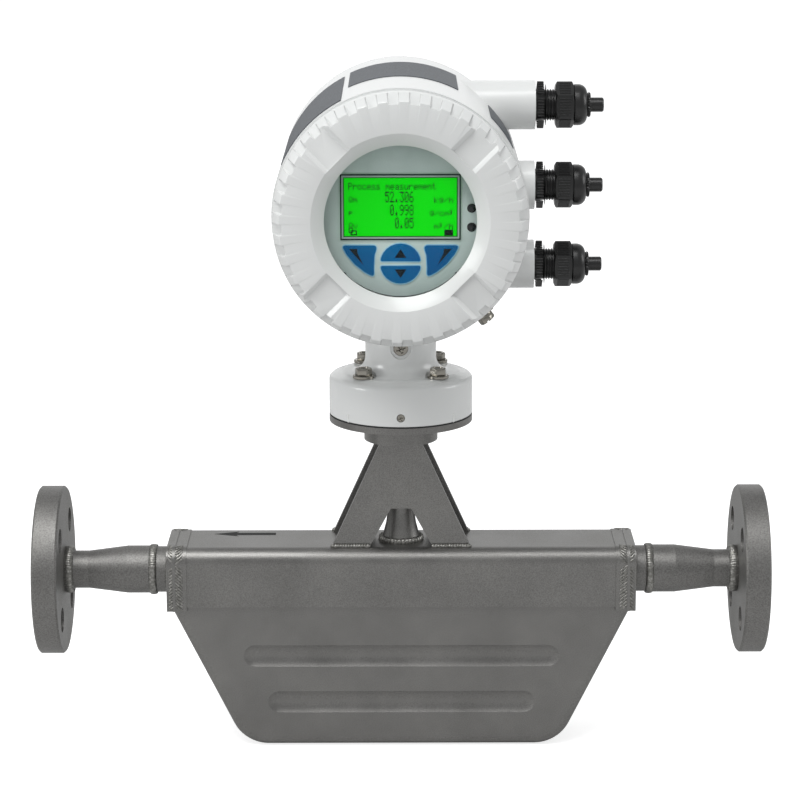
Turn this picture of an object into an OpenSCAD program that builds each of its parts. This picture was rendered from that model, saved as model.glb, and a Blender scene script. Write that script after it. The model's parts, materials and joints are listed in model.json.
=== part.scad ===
// Coriolis mass flow meter: twin-tube sensor in a welded steel case, with a two-compartment
// electronics head on a tower. X runs along the pipe, the display faces -Y and +Z is up.
// The origin is the centre of the inlet flange's sealing face. Flow runs from there to -X.

/* [Pipe line] */
// Distance between the two sealing faces
face_to_face = 413; // [390:1:450]
// Outer diameter of a flange
flange_d = 95; // [90:1:110]
// Thickness of a flange, with its raised face
flange_t = 16; // [14:0.5:20]
// Diameter of the raised sealing face
raised_d = 45; // [40:1:46]
// Height of the raised sealing face
raised_h = 2; // [1:0.5:3]
// Pitch circle of the flange bolts
bolt_circle_d = 65; // [63:1:75]
// Diameter of a flange bolt hole
bolt_hole_d = 14; // [10:0.5:15]
// Number of bolt holes in a flange
bolt_count = 4; // [4:4:4]
// Outer diameter of the line pipe
pipe_d = 21.3; // [19:0.1:24]
// Bore of the line pipe
pipe_bore = 17.3; // [12:0.1:18]
// Length of the weld between the flange and the pipe
hub_l = 5; // [3:0.5:8]
// Largest diameter of this weld
hub_d = 26.5; // [25:0.5:32]
// Length of the straight pipe after the weld
stub_l = 8.5; // [6:0.5:14]
// Length of the reducer's cone
cone_l = 22; // [16:1:26]
// Outer diameter of the reducer's large end
large_pipe_d = 26.9; // [25:0.1:30]
// Bore of the reducer's large end
large_bore = 22.3; // [18:0.1:23.5]
// How far a weld bead stands out of the pipe
weld_h = 0.5; // [0.2:0.1:1]
// Width of a pipe weld bead
weld_w = 3.5; // [2:0.5:5]

/* [Case] */
// Length of the case over its end caps
case_l = 263; // [250:1:280]
// Front-to-back depth of the channel
case_d = 50; // [46:1:60]
// Height of the case top above the pipe axis
case_top = 17.7; // [16.5:0.1:22]
// Depth of the channel's lower edge below the pipe axis
channel_drop = 15.2; // [14:0.1:17]
// Wall of the channel
channel_t = 1.8; // [1.4:0.1:2.4]
// Outer radius of the channel's bends
bend_r = 8; // [6:0.5:8]
// Length of an end cap's outer plate
cap_t = 5; // [4:0.5:7]
// Length of an end cap's spigot inside the channel
cap_spigot_l = 4; // [3:0.5:6]
// Length of the widened collar at each end of the channel
flare_l = 6.3; // [5:0.1:10]
// How far the collars and end caps stand proud of the channel
flare_h = 0.5; // [0.3:0.1:0.8]
// Clearance of an end cap's spigot in the channel
cap_clear = 0.1; // [0.05:0.05:0.2]
// Length of the manifold's spigot outside the case
spigot_l = 7.5; // [5:0.5:10]
// Diameter of the manifold's spigot
spigot_d = 26; // [25:0.1:29]

/* [Pan] */
// Depth of the pan's floor below the pipe axis
pan_drop = 98; // [92:1:110]
// Depth of the pan's upper edge below the pipe axis
pan_rim_drop = 17.5; // [16.5:0.1:18.5]
// Distance from the case's end to the pan's upper corner
pan_inset = 2.4; // [2:0.1:6.5]
// Length over which each end of the pan slopes
pan_run = 40; // [30:0.5:46]
// Radius of the pan's two lower corners
pan_corner_r = 22; // [14:1:26]
// Radius of the pan's pressed edges
pan_edge_r = 6; // [4:0.5:8]
// Sheet thickness of the pan
pan_t = 1.5; // [1:0.1:1.8]
// How far the pan's lip reaches up inside the channel
lip_h = 5; // [3:0.5:8]
// Distance from the case's end to the end of the lip
lip_inset = 11; // [9.5:0.5:20]
// Depth of the upper stiffening bead below the pipe axis
bead_1_drop = 44.4; // [40:0.1:48]
// Depth of the lower bead below the pipe axis
bead_2_drop = 71.6; // [66:0.1:76]
// Distance from the end of a bead to the pan's sloping end
bead_margin = 26.9; // [20:0.1:32]
// Height of a bead's face
bead_w = 12.6; // [9:0.2:14]
// Depth of a bead
bead_depth = 2; // [1:0.1:2.5]

/* [Flow tubes] */
// Outer diameter of a flow tube
tube_d = 10; // [8:0.1:11]
// Bore of a flow tube
tube_bore = 8; // [6:0.1:8.6]
// Distance between the two tubes' axes
tube_pitch = 22; // [20:0.5:24]
// Depth of the tubes' lowest run below the pipe axis
tube_drop = 80; // [70:1:84]
// Bend radius at the manifold
upper_bend_r = 16; // [12:1:20]
// Bend radius at the lowest run
lower_bend_r = 22; // [16:1:28]
// Length of a manifold block inside the case
block_l = 10.5; // [8.5:0.5:14]
// Depth of a manifold's tube sockets
socket_l = 4; // [3:0.5:5]
// Width of a manifold block
block_w = 38; // [36:0.5:42]
// Height of a manifold block
block_h = 22; // [20:0.5:26]
// Thickness of a node plate
node_plate_t = 1; // [0.8:0.1:1.5]
// Distance between the two node plates of one end
node_plate_pitch = 14; // [10:1:18]
// Diameter of the drive and pick-off coils
coil_d = 14; // [11:0.5:16]
// Gap between a coil and its magnet
coil_gap = 1; // [0.6:0.1:1.5]

/* [Tower] */
// Height of the mounting disc's boss above the pipe axis
tower_top = 76.5; // [70:0.5:90]
// Width of a tower plate over its two feet
tower_foot_w = 77.4; // [70:0.5:90]
// Width of a tower plate at its top
tower_top_w = 24; // [20:0.5:30]
// Width between a tower plate's feet
tower_gap_w = 35.4; // [28:0.5:40]
// Width of the notch at its top
notch_top_w = 11.4; // [8:0.2:14]
// Height of the notch
notch_h = 22.2; // [16:0.2:26]
// Thickness of a tower plate
tower_t = 4; // [3:0.5:5]
// Outer diameter of the conduit tube
conduit_d = 15.2; // [12:0.1:16]
// Wall of the conduit tube
conduit_t = 1.5; // [1:0.1:2]
// Diameter of the weld at the conduit's foot
conduit_weld_d = 19; // [17.5:0.5:22]
// How far the conduit reaches below the case top
conduit_dip = 6; // [3:0.5:8]

/* [Mounting disc and neck] */
// Diameter of the mounting disc and the collar
disc_d = 80; // [76:0.5:90]
// Thickness of the mounting disc
disc_t = 3.6; // [3:0.1:5]
// Diameter of the disc's boss
boss_d = 41.2; // [38:0.2:44]
// Height of the disc's boss
boss_h = 11.2; // [8:0.2:14]
// Thickness of the gasket
gasket_t = 0.8; // [0.5:0.1:1.5]
// Height of the collar's wide part
collar_h = 21.6; // [18:0.2:26]
// Bevel round the collar's top edge
collar_bevel = 2; // [1:0.5:3]
// Diameter of the raised platform on the collar
platform_d = 70; // [69:0.5:74]
// Height of the platform
platform_h = 2; // [1:0.5:3]
// Outer diameter of the neck
neck_d = 39.6; // [37:0.2:42]
// Height of the neck above the platform
neck_h = 22.4; // [20:0.2:30]
// Radius of the fillet at the neck's foot
neck_fillet = 6; // [4:0.5:7]
// Pitch circle of the collar bolts
collar_bolt_circle = 58; // [56:0.5:60]
// Thread diameter of the collar bolts
collar_bolt_d = 6; // [5:0.5:6]
// Width across flats of a collar bolt's head
collar_bolt_af = 10; // [8:0.5:10]
// Height of a collar bolt's head
collar_bolt_head_h = 4; // [3:0.5:5]
// Diameter of a collar bolt's washer
washer_d = 12; // [11.8:0.2:13]
// Thickness of a collar bolt's washer
washer_t = 1.6; // [1:0.1:2]
// Diameter of the swivel stub under the head
stub_d = 32; // [29:0.5:33]
// Radial running clearance of the swivel stub
stub_clear = 0.1; // [0.05:0.01:0.1]
// Length of the swivel stub
swivel_l = 26; // [20:1:32]
// Gap between the neck's rim and the head
swivel_gap = 0.2; // [0.1:0.05:0.3]
// Section diameter of the neck O-ring
neck_ring_d = 2.4; // [2:0.1:3]
// Diameter of the swivel lock screw
lock_screw_d = 8; // [6:0.5:8.5]
// Diameter of the recess round the lock screw
lock_recess_d = 11.6; // [11:0.2:13]
// Diameter of the collar's set screw
set_screw_d = 4.4; // [3:0.2:5]

/* [Head] */
// Height of the head's axis above the pipe axis
head_z = 210; // [209:1:240]
// Outer diameter of the head
head_d = 138; // [136:1:144]
// Distance from the neck's axis to the head's front face
head_front = 50; // [46:1:60]
// Distance from the neck's axis to the head's rear face
head_rear = 108; // [100:1:120]
// Inner diameter of the display compartment
front_bore = 122; // [116:0.5:123]
// Inner diameter of the terminal compartment
rear_bore = 122; // [116:0.5:123]
// Distance from the neck's axis to the front of the partition
partition_y = 20; // [16:1:26]
// Thickness of the partition
partition_t = 5; // [4:0.5:8]
// Diameter of the cable passage through the swivel stub
passage_d = 20; // [14:0.5:22]
// Distance from the neck's axis back to the gland bosses
gland_y = 65; // [60:1:80]
// Vertical spacing of the gland bosses
gland_pitch = 46; // [44:0.5:48]
// Diameter of a gland boss
gland_boss_d = 28; // [26:0.5:30]
// Distance from the head's axis to a gland boss's face
gland_boss_x = 76.8; // [75:0.2:90]
// Angle of the earth boss below the horizontal
earth_angle = 52; // [46:1:60]
// Distance the earth boss stands out of the head
earth_boss_h = 3; // [2:0.5:5]

/* [Covers] */
// Largest diameter of a cover
cover_d = 136.4; // [134:0.2:138]
// Diameter of a cover's outer face
cover_face_d = 125.6; // [122:0.2:128]
// Depth of a cover outside the head
cover_h = 21; // [18:0.5:26]
// Depth of a cover's tapered front edge
cover_taper = 9; // [6:0.5:11]
// Number of teeth round a cover
tooth_count = 36; // [24:4:44]
// Height of a tooth
tooth_h = 1.4; // [1:0.1:2.2]
// Width of a cover's four wrench slots
slot_w = 14; // [10:0.5:16]
// Depth of a wrench slot
slot_depth = 2.6; // [1.5:0.1:3.5]
// Width of a wrench slot's sloping flank
slot_flank = 1.6; // [1:0.1:2.5]
// Radial running clearance of a cover's skirt in the head
skirt_clear = 0.08; // [0.04:0.01:0.1]
// Length of a cover's skirt inside the head
skirt_l = 12; // [10:1:16]
// Wall of a cover's skirt
skirt_t = 4; // [3:0.5:5]
// Section diameter of a cover's O-ring
cover_ring_d = 1.8; // [1.4:0.1:2.2]
// Diameter where the window's bevel meets the outer face
bevel_d = 95; // [90:1:100]
// Visible diameter of the window
window_d = 81; // [76:1:86]
// Depth of the window's bevel
bevel_depth = 5; // [4:0.5:6]
// Thickness of the window glass
glass_t = 6; // [5:0.5:8]
// Diameter of the window glass
glass_d = 92; // [90:1:96]
// Thickness of the retaining ring behind the glass
retainer_t = 3; // [2:0.5:4]

/* [Display] */
// Distance from the head's front face forward to the face plate
display_y = 4; // [2:0.5:6]
// Diameter of the display carrier
display_d = 102; // [96:1:106]
// Thickness of the face plate
display_t = 3; // [2:0.5:4]
// Width of the LCD panel
lcd_w = 63.6; // [56:0.2:66]
// Height of the LCD panel
lcd_h = 34.4; // [30:0.2:36]
// Height of the LCD's centre above the head's axis
lcd_up = 6.2; // [5:0.2:8]
// How far the LCD panel stands proud of the face plate
lcd_proud = 0.4; // [0.2:0.1:1]
// Thickness of the key film
film_t = 0.4; // [0.2:0.1:0.8]
// Diameter of the keypad's round centre
key_d = 22; // [20:0.5:24]
// Distance from the head's axis to the wedge keys' outer edges
key_reach = 34.3; // [33:0.1:36]
// Height of a wedge key
wedge_h = 16.7; // [15:0.1:18]
// Distance from the keypad's centre up to the wedge keys' top edges
wedge_up = 9.9; // [9:0.1:10.5]
// Gap between the round centre and a wedge key
wedge_gap = 3.5; // [2:0.1:4]
// Height of the keypad's centre below the head's axis
key_down = 23.5; // [22.5:0.1:25]
// Gap between the two half-round keys
key_gap = 2.8; // [1.5:0.1:3.5]
// Diameter of a printed circuit board
board_d = 100; // [90:1:104]
// Thickness of a printed circuit board
board_t = 1.6; // [1.2:0.1:2]
// Distance from the face plate's back to the display board
board_1_gap = 10; // [8:0.5:14]
// Distance from the display board's back to the main board
board_2_gap = 28; // [20:0.5:34]
// Diameter of a board pillar
pillar_d = 6; // [5:0.5:7]
// Pitch circle of the pillars
pillar_circle = 86; // [78:1:88]
// Size of the terminal block across
terminal_w = 62; // [50:1:66]
// Height of the terminal block
terminal_h = 26; // [20:1:32]
// Depth of the terminal block
terminal_t = 16; // [12:1:20]

/* [Cable glands] */
// Thread diameter of a gland
gland_thread_d = 20; // [18:0.5:20.5]
// Width across flats of a gland's hexagons
gland_af = 24; // [23:0.5:26]
// Thickness of a gland body's hexagon
gland_hex_h = 6.1; // [5:0.1:8]
// Length of bare thread between the hexagon and the nut
gland_gap = 5.4; // [5:0.1:8]
// Length of a dome nut's hexagon
nut_hex_l = 10.6; // [9:0.1:12]
// Length of a dome nut's dome
dome_l = 7.6; // [6.5:0.1:9]
// Diameter of a dome nut's dome at its root
dome_d = 23.4; // [22.8:0.1:24]
// Radius of a dome nut's rounded shoulder
dome_round = 5; // [3:0.5:5.5]
// Wall of a dome nut round its hole
dome_wall = 2; // [1.5:0.1:2.5]
// Diameter of the hole in a dome nut
dome_hole_d = 11.6; // [10:0.1:13]
// Bore of a gland
gland_bore = 13; // [11:0.5:14]
// Length of thread inside the boss
gland_inner_l = 12; // [10:0.5:15]
// Length of thread that carries the dome nut
nut_thread_l = 8; // [7:0.5:9]
// Diameter of a blanking plug's shank
plug_d = 8.2; // [7:0.1:9]
// Length of a blanking plug outside its flange
plug_l = 9.2; // [7:0.1:12]
// Diameter of a blanking plug's flange
plug_flange_d = 14; // [12.5:0.1:15]
// Thickness of a blanking plug's flange
plug_flange_t = 1.6; // [1.2:0.1:2.5]
// Radial clearance between coaxial gland parts
gland_clear = 0.1; // [0.05:0.01:0.1]

/* [Hidden] */
$fn = 96;
eps = 0.01;

// Colours
steel = "#8b8b89";
bright = "#c9c9c7";
white = "#e2e3e2";
black = "#1c1c1c";
board_green = "#1f6b43";
copper = "#b5713a";

// Pipe line, measured from the meter's centre
half_l = face_to_face / 2;
case_end = case_l / 2;
spigot_end = case_end + spigot_l;
hub_end = half_l - flange_t - hub_l;

// Case
flat_half = case_d / 2 - bend_r;
cap_inner = case_end - cap_t;
flare_start = cap_inner - flare_l;
pan_face = case_d / 2 - channel_t;
pan_top_half = case_end - pan_inset;
pan_floor_half = pan_top_half - pan_run;
pan_angle = atan2(pan_drop - pan_rim_drop, pan_run);
lip_half = case_end - lip_inset;
corner_x = pan_floor_half - pan_corner_r * tan(pan_angle / 2);
bead_r = (pow(bead_w / 2, 2) + pow(bead_depth, 2)) / (2 * bead_depth);
wall_lap = 1;

manifold_face = cap_inner - cap_spigot_l - block_l;

// Flow tubes: run out of the manifold, bend down, slope, bend level
upper_dx = upper_bend_r * sin(pan_angle);
upper_dz = upper_bend_r * (1 - cos(pan_angle));
lower_dx = lower_bend_r * sin(pan_angle);
lower_dz = lower_bend_r * (1 - cos(pan_angle));
slope_dz = tube_drop - upper_dz - lower_dz;
slope_l = slope_dz / sin(pan_angle);
slope_dx = slope_dz / tan(pan_angle);
bottom_half = manifold_face - upper_dx - slope_dx - lower_dx;
bore_shift = 6.5;
plate_s = 0.15 * slope_l;
bend_step = 0.02;
bend_bite = 0.5;

// Tower, disc and neck, measured from the pipe axis
disc_base = tower_top + boss_h;
gasket_z = disc_base + disc_t;
collar_z = gasket_z + gasket_t;
platform_z = collar_z + collar_h + platform_h;
neck_top = platform_z + neck_h;
stub_bottom = neck_top - swivel_l;
seat_gap = 0.5;
ring_z = stub_bottom + 6;
lock_z = neck_top - 6.5;
set_screw_z = collar_z + 5;
set_screw_in = disc_d / 2 - 7;
lock_groove_depth = 1.7;
groove_side = 0.15;
tapped = 0.1;
drilled = 0.6;
bolt_r = collar_bolt_circle / 2;

// Head
entry_from = rear_bore / 2 - 2 * gland_thread_d;
earth_y = -25;
earth_boss_d = 14;
skirt_d = front_bore - 2 * skirt_clear;
glass_y = head_front + cover_h - bevel_depth;
plate_y = head_front + display_y;
board_1_y = plate_y - display_t - board_1_gap;
board_2_y = board_1_y - board_t - board_2_gap;

// Covers and glands
ring_from = 1.2;
tooth_foot = 1.2;
tooth_head = cover_h - 2.5;
seal_gap = 0.3;
nut_x = gland_boss_x + gland_hex_h + gland_gap;
nut_end = nut_x + nut_hex_l + dome_l;

// Moves from the meter's centre to the part's origin at the inlet sealing face
module placed() {
    translate([-half_l, 0, 0]) children();
}

// Turns +Z onto +X
module along_x() {
    rotate([0, 90, 0]) children();
}

// Turns +Z onto +Y
module along_y() {
    rotate([-90, 0, 0]) children();
}

// Keeps the inlet end at +X or mirrors it to -X
module at_end(side) {
    placed() mirror([side > 0 ? 0 : 1, 0, 0]) children();
}

module at_head() {
    placed() translate([0, 0, head_z]) children();
}

module ring(outer_d, inner_d, h) {
    difference() {
        cylinder(d = outer_d, h = h);
        translate([0, 0, -1]) cylinder(d = inner_d, h = h + 2);
    }
}

module torus(pitch_d, section_d) {
    rotate_extrude() translate([pitch_d / 2, 0]) circle(d = section_d, $fn = 32);
}

module hexagon(af, h) {
    cylinder(d = af / cos(30), h = h, $fn = 6);
}

// ---- Pipe line ----

module flange() {
    plate_in = half_l - flange_t;
    color(steel) difference() {
        along_x() rotate_extrude() polygon([[pipe_bore / 2, hub_end], [pipe_d / 2, hub_end],
            [hub_d / 2 - 0.8, hub_end + 0.3 * hub_l], [hub_d / 2, hub_end + 0.65 * hub_l],
            [hub_d / 2 - 0.4, plate_in], [flange_d / 2 - 1, plate_in], [flange_d / 2, plate_in + 1],
            [flange_d / 2, half_l - raised_h - 1], [flange_d / 2 - 1, half_l - raised_h],
            [raised_d / 2, half_l - raised_h], [raised_d / 2, half_l], [pipe_bore / 2, half_l]]);
        for (i = [0 : bolt_count - 1])
            rotate([(i + 0.5) * 360 / bolt_count, 0, 0])
                translate([plate_in - 1, 0, bolt_circle_d / 2])
                    along_x() cylinder(d = bolt_hole_d, h = flange_t + 2);
    }
}

module inlet_flange() at_end(1) flange();

module outlet_flange() at_end(-1) flange();

module reducer() {
    cone_out = hub_end - stub_l;
    cone_in = cone_out - cone_l;
    color(steel) along_x() rotate_extrude() polygon([[large_bore / 2, spigot_end],
        [large_pipe_d / 2 + weld_h, spigot_end], [large_pipe_d / 2 + weld_h, spigot_end + weld_w - 1],
        [large_pipe_d / 2, spigot_end + weld_w], [large_pipe_d / 2, cone_in],
        [pipe_d / 2, cone_out], [pipe_d / 2, hub_end], [pipe_bore / 2, hub_end],
        [pipe_bore / 2, cone_out], [large_bore / 2, cone_in]]);
}

module inlet_reducer() at_end(1) reducer();

module outlet_reducer() at_end(-1) reducer();

// One bore from the pipe, splitting into two that diverge to the tube sockets
module manifold() {
    run_l = cap_inner - manifold_face - socket_l;
    spread = atan2(bore_shift, run_l);
    color(steel) difference() {
        union() {
            translate([manifold_face, 0, 0]) along_x() cylinder(d = spigot_d, h = spigot_end - manifold_face);
            translate([manifold_face, -block_w / 2, -block_h / 2]) cube([block_l, block_w, block_h]);
        }
        translate([cap_inner, 0, 0]) along_x() cylinder(d = large_bore, h = spigot_end);
        for (s = [-1, 1]) {
            translate([manifold_face - 1, s * tube_pitch / 2, 0])
                along_x() cylinder(d = tube_d, h = socket_l + 1);
            translate([manifold_face + socket_l, s * tube_pitch / 2, 0])
                rotate([0, 0, -s * spread]) translate([-1, 0, 0])
                    along_x() cylinder(d = tube_bore, h = run_l / cos(spread) + 4);
        }
    }
}

module inlet_manifold() at_end(1) manifold();

module outlet_manifold() at_end(-1) manifold();

// ---- Case ----

// Inverted U in (Y, Z) with its bends, grown outwards by a distance, down to a stated level
module u_outline(grow, bottom) {
    r = bend_r + grow;
    half = case_d / 2 + grow;
    top = case_top + grow;
    translate([-half, bottom]) square([2 * half, top - r - bottom]);
    translate([-half + r, bottom]) square([2 * (half - r), top - bottom]);
    for (s = [-1, 1]) translate([s * (half - r), top - r]) circle(r);
}

module u_channel(grow, from, to, drop) {
    translate([from, 0, 0]) rotate([90, 0, 90]) linear_extrude(to - from) difference() {
        u_outline(grow, -drop);
        u_outline(-channel_t, -drop - 1);
    }
}

module case_channel() {
    color(steel) placed() difference() {
        union() {
            u_channel(0, -flare_start - eps, flare_start + eps, channel_drop);
            u_channel(flare_h, flare_start, cap_inner, pan_rim_drop);
            u_channel(flare_h, -cap_inner, -flare_start, pan_rim_drop);
        }
        translate([0, 0, case_top - channel_t - 1])
            cylinder(d = conduit_d + 2 * cap_clear, h = channel_t + 2);
    }
}

module end_cap() {
    color(steel) difference() {
        union() {
            translate([cap_inner, 0, 0]) rotate([90, 0, 90])
                linear_extrude(cap_t) u_outline(flare_h, -pan_rim_drop);
            translate([cap_inner, 0, 0]) rotate([90, 0, 90])
                linear_extrude(1.6) u_outline(flare_h + weld_h, -pan_rim_drop);
            translate([cap_inner - cap_spigot_l, 0, 0]) rotate([90, 0, 90])
                linear_extrude(cap_spigot_l + eps) u_outline(-channel_t - cap_clear, -pan_rim_drop);
        }
        translate([cap_inner - cap_spigot_l - 1, 0, 0])
            along_x() cylinder(d = spigot_d + 2 * cap_clear, h = cap_t + cap_spigot_l + 2);
    }
}

module inlet_end_cap() at_end(1) end_cap();

module outlet_end_cap() at_end(-1) end_cap();

// Section through the pan's pressed edge: R runs out from a corner's centre, Y from the face back
module edge_form(inset) {
    r = pan_corner_r - inset;
    face = pan_face - inset;
    edge = pan_edge_r - inset;
    translate([0, -face]) square([r - edge, face]);
    translate([0, -face + edge]) square([r, face - edge]);
    translate([r - edge, -face + edge]) circle(edge);
}

module edge_section() {
    difference() {
        edge_form(0);
        edge_form(pan_t);
    }
}

// The edge section swept along half the floor, round a lower corner and up a sloping end
module pan_edge() {
    slope = (pan_drop - pan_rim_drop) / sin(pan_angle);
    translate([0, 0, -pan_drop + pan_corner_r]) {
        rotate([0, 90, 0]) linear_extrude(corner_x) edge_section();
        translate([corner_x, 0, 0]) {
            rotate([-90, 90 - pan_angle, 0]) rotate_extrude(angle = pan_angle) edge_section();
            rotate([0, 90 - pan_angle, 0]) linear_extrude(slope) edge_section();
        }
    }
}

// A horizontal bead pressed into the pan's face
module bead(drop, half, r) {
    translate([0, -pan_face - bead_r + bead_depth, -drop]) {
        translate([-half, 0, 0]) along_x() cylinder(r = r, h = 2 * half);
        for (s = [-1, 1]) translate([s * half, 0, 0]) sphere(r = r);
    }
}

module beads(r) {
    bead_tip = sqrt(pow(bead_r, 2) - pow(bead_r - bead_depth, 2));
    for (drop = [bead_1_drop, bead_2_drop])
        bead(drop, pan_floor_half + (pan_drop - drop) / tan(pan_angle) - bead_margin - bead_tip, r);
}

module pan_half() {
    centre_z = -pan_drop + pan_corner_r;
    inner_half = corner_x + (-pan_rim_drop - centre_z) / tan(pan_angle);
    difference() {
        union() {
            intersection() {
                union() {
                    pan_edge();
                    mirror([1, 0, 0]) pan_edge();
                    translate([0, -pan_face + pan_t, 0]) rotate([90, 0, 0]) linear_extrude(pan_t)
                        polygon([[-corner_x - wall_lap, centre_z - wall_lap],
                            [corner_x + wall_lap, centre_z - wall_lap],
                            [inner_half + wall_lap, -pan_rim_drop + wall_lap],
                            [-inner_half - wall_lap, -pan_rim_drop + wall_lap]]);
                }
                translate([-case_l, -case_d, -pan_drop - 1])
                    cube([2 * case_l, case_d, pan_drop - pan_rim_drop + 1]);
            }
            translate([-lip_half, -pan_face, -pan_rim_drop - wall_lap])
                cube([2 * lip_half, pan_t, lip_h + wall_lap]);
            intersection() {
                beads(bead_r + pan_t);
                translate([-case_l, -pan_face + pan_t / 2, -pan_drop]) cube([2 * case_l, case_d, pan_drop]);
            }
        }
        beads(bead_r);
    }
}

module pan_front() color(steel) placed() pan_half();

module pan_rear() color(steel) placed() mirror([0, 1, 0]) pan_half();

// ---- Flow tubes ----

// A bend in the (X, Z) plane about its centre, from an angle on by the slope's angle
module tube_bend(radius, from, r) {
    rotate([90, 0, 0]) rotate(from) rotate_extrude(angle = pan_angle) translate([radius, 0]) circle(r);
}

// Half a tube's route, from beyond its socket to the meter's centre. The straight lengths are
// slimmer than the bends by a hair and reach into them.
module half_route(r, beyond) {
    straight_r = r - bend_step;
    translate([manifold_face - bend_bite, 0, 0])
        along_x() cylinder(r = straight_r, h = bend_bite + socket_l + beyond);
    translate([manifold_face, 0, -upper_bend_r]) tube_bend(upper_bend_r, 90, r);
    on_slope(-bend_bite) along_x() cylinder(r = straight_r, h = slope_l + 2 * bend_bite);
    translate([bottom_half, 0, -tube_drop + lower_bend_r]) tube_bend(lower_bend_r, -90, r);
}

module route(r, beyond) {
    half_route(r, beyond);
    mirror([1, 0, 0]) half_route(r, beyond);
    translate([-bottom_half - bend_bite, 0, -tube_drop])
        along_x() cylinder(r = r - bend_step, h = 2 * (bottom_half + bend_bite));
}

module flow_tube(side) {
    color(bright) placed() translate([0, side * tube_pitch / 2, 0]) difference() {
        route(tube_d / 2, 0);
        route(tube_bore / 2, 1);
    }
}

module front_flow_tube() flow_tube(-1);

module rear_flow_tube() flow_tube(1);

// A frame on the inlet slope: origin on the tubes' mid plane, +X down along the tubes
module on_slope(s) {
    translate([manifold_face - upper_dx, 0, -upper_dz])
        rotate([0, 180 - pan_angle, 0]) translate([s, 0, 0]) children();
}

module node_plates() {
    edge = tube_d / 2 + 4;
    color(bright) for (i = [0, 1]) on_slope(plate_s + i * node_plate_pitch) difference() {
        translate([0, -tube_pitch / 2 - edge, -edge]) cube([node_plate_t, tube_pitch + 2 * edge, 2 * edge]);
        for (s = [-1, 1]) translate([-1, s * tube_pitch / 2, 0])
            along_x() cylinder(d = tube_d, h = node_plate_t + 2);
    }
}

module inlet_node_plates() at_end(1) node_plates();

module outlet_node_plates() at_end(-1) node_plates();

// Coil on the rear tube and magnet on the front tube, both saddled to the tube, +X along the tubes
module coil() {
    color(copper) difference() {
        translate([0, coil_gap / 2, 0]) along_y() ring(coil_d, coil_d / 2, tube_pitch / 2 - coil_gap / 2);
        translate([-coil_d, tube_pitch / 2, 0]) along_x() cylinder(d = tube_d, h = 2 * coil_d);
        translate([-coil_d, tube_pitch / 2, -coil_d]) cube(2 * coil_d);
    }
}

module magnet() {
    color("#55585c") difference() {
        translate([0, -tube_pitch / 2, 0]) along_y() union() {
            cylinder(d = coil_d, h = tube_pitch / 2 - coil_gap / 2);
            cylinder(d = coil_d / 2 - 2, h = tube_pitch / 2 + 2);
        }
        translate([-coil_d, -tube_pitch / 2, 0]) along_x() cylinder(d = tube_d, h = 2 * coil_d);
        translate([-coil_d, -tube_pitch / 2 - 2 * coil_d, -coil_d]) cube(2 * coil_d);
    }
}

module drive_coil() placed() translate([0, 0, -tube_drop]) coil();

module drive_magnet() placed() translate([0, 0, -tube_drop]) magnet();

module inlet_pickoff_coil() at_end(1) on_slope(slope_l - coil_d / 2) coil();

module inlet_pickoff_magnet() at_end(1) on_slope(slope_l - coil_d / 2) magnet();

module outlet_pickoff_coil() at_end(-1) on_slope(slope_l - coil_d / 2) coil();

module outlet_pickoff_magnet() at_end(-1) on_slope(slope_l - coil_d / 2) magnet();

// ---- Tower ----

module tower_plate() {
    h = tower_top - case_top;
    color(steel) placed() translate([0, -flat_half + tower_t, case_top]) rotate([90, 0, 0])
        linear_extrude(tower_t) polygon([[-tower_foot_w / 2, 0], [-tower_gap_w / 2, 0],
            [-notch_top_w / 2, notch_h], [notch_top_w / 2, notch_h], [tower_gap_w / 2, 0],
            [tower_foot_w / 2, 0], [tower_top_w / 2, h], [-tower_top_w / 2, h]]);
}

module tower_front_plate() tower_plate();

module tower_rear_plate() mirror([0, 1, 0]) tower_plate();

module conduit() {
    bottom = case_top - conduit_dip;
    color(steel) placed() difference() {
        union() {
            translate([0, 0, bottom]) cylinder(d = conduit_d, h = tower_top - bottom);
            translate([0, 0, case_top]) cylinder(d1 = conduit_weld_d, d2 = conduit_d, h = 3);
        }
        translate([0, 0, bottom - 1]) cylinder(d = conduit_d - 2 * conduit_t, h = tower_top - bottom + 2);
    }
}

// ---- Mounting disc and neck ----

module at_collar_bolts() {
    for (a = [45 : 90 : 315]) rotate(a) translate([bolt_r, 0, 0]) children();
}

module mounting_disc() {
    color(steel) placed() difference() {
        union() {
            translate([0, 0, tower_top]) cylinder(d = boss_d, h = boss_h + eps);
            translate([0, 0, disc_base]) cylinder(d = disc_d, h = disc_t);
        }
        translate([0, 0, tower_top - 1])
            cylinder(d = conduit_d - 2 * conduit_t, h = boss_h + disc_t + 2);
        translate([0, 0, disc_base - 1]) at_collar_bolts()
            cylinder(d = collar_bolt_d + tapped, h = disc_t + 2);
    }
}

module disc_gasket() {
    color(black) placed() translate([0, 0, gasket_z]) difference() {
        ring(disc_d - 0.6, boss_d, gasket_t);
        translate([0, 0, -1]) at_collar_bolts() cylinder(d = collar_bolt_d + drilled, h = gasket_t + 2);
    }
}

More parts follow.
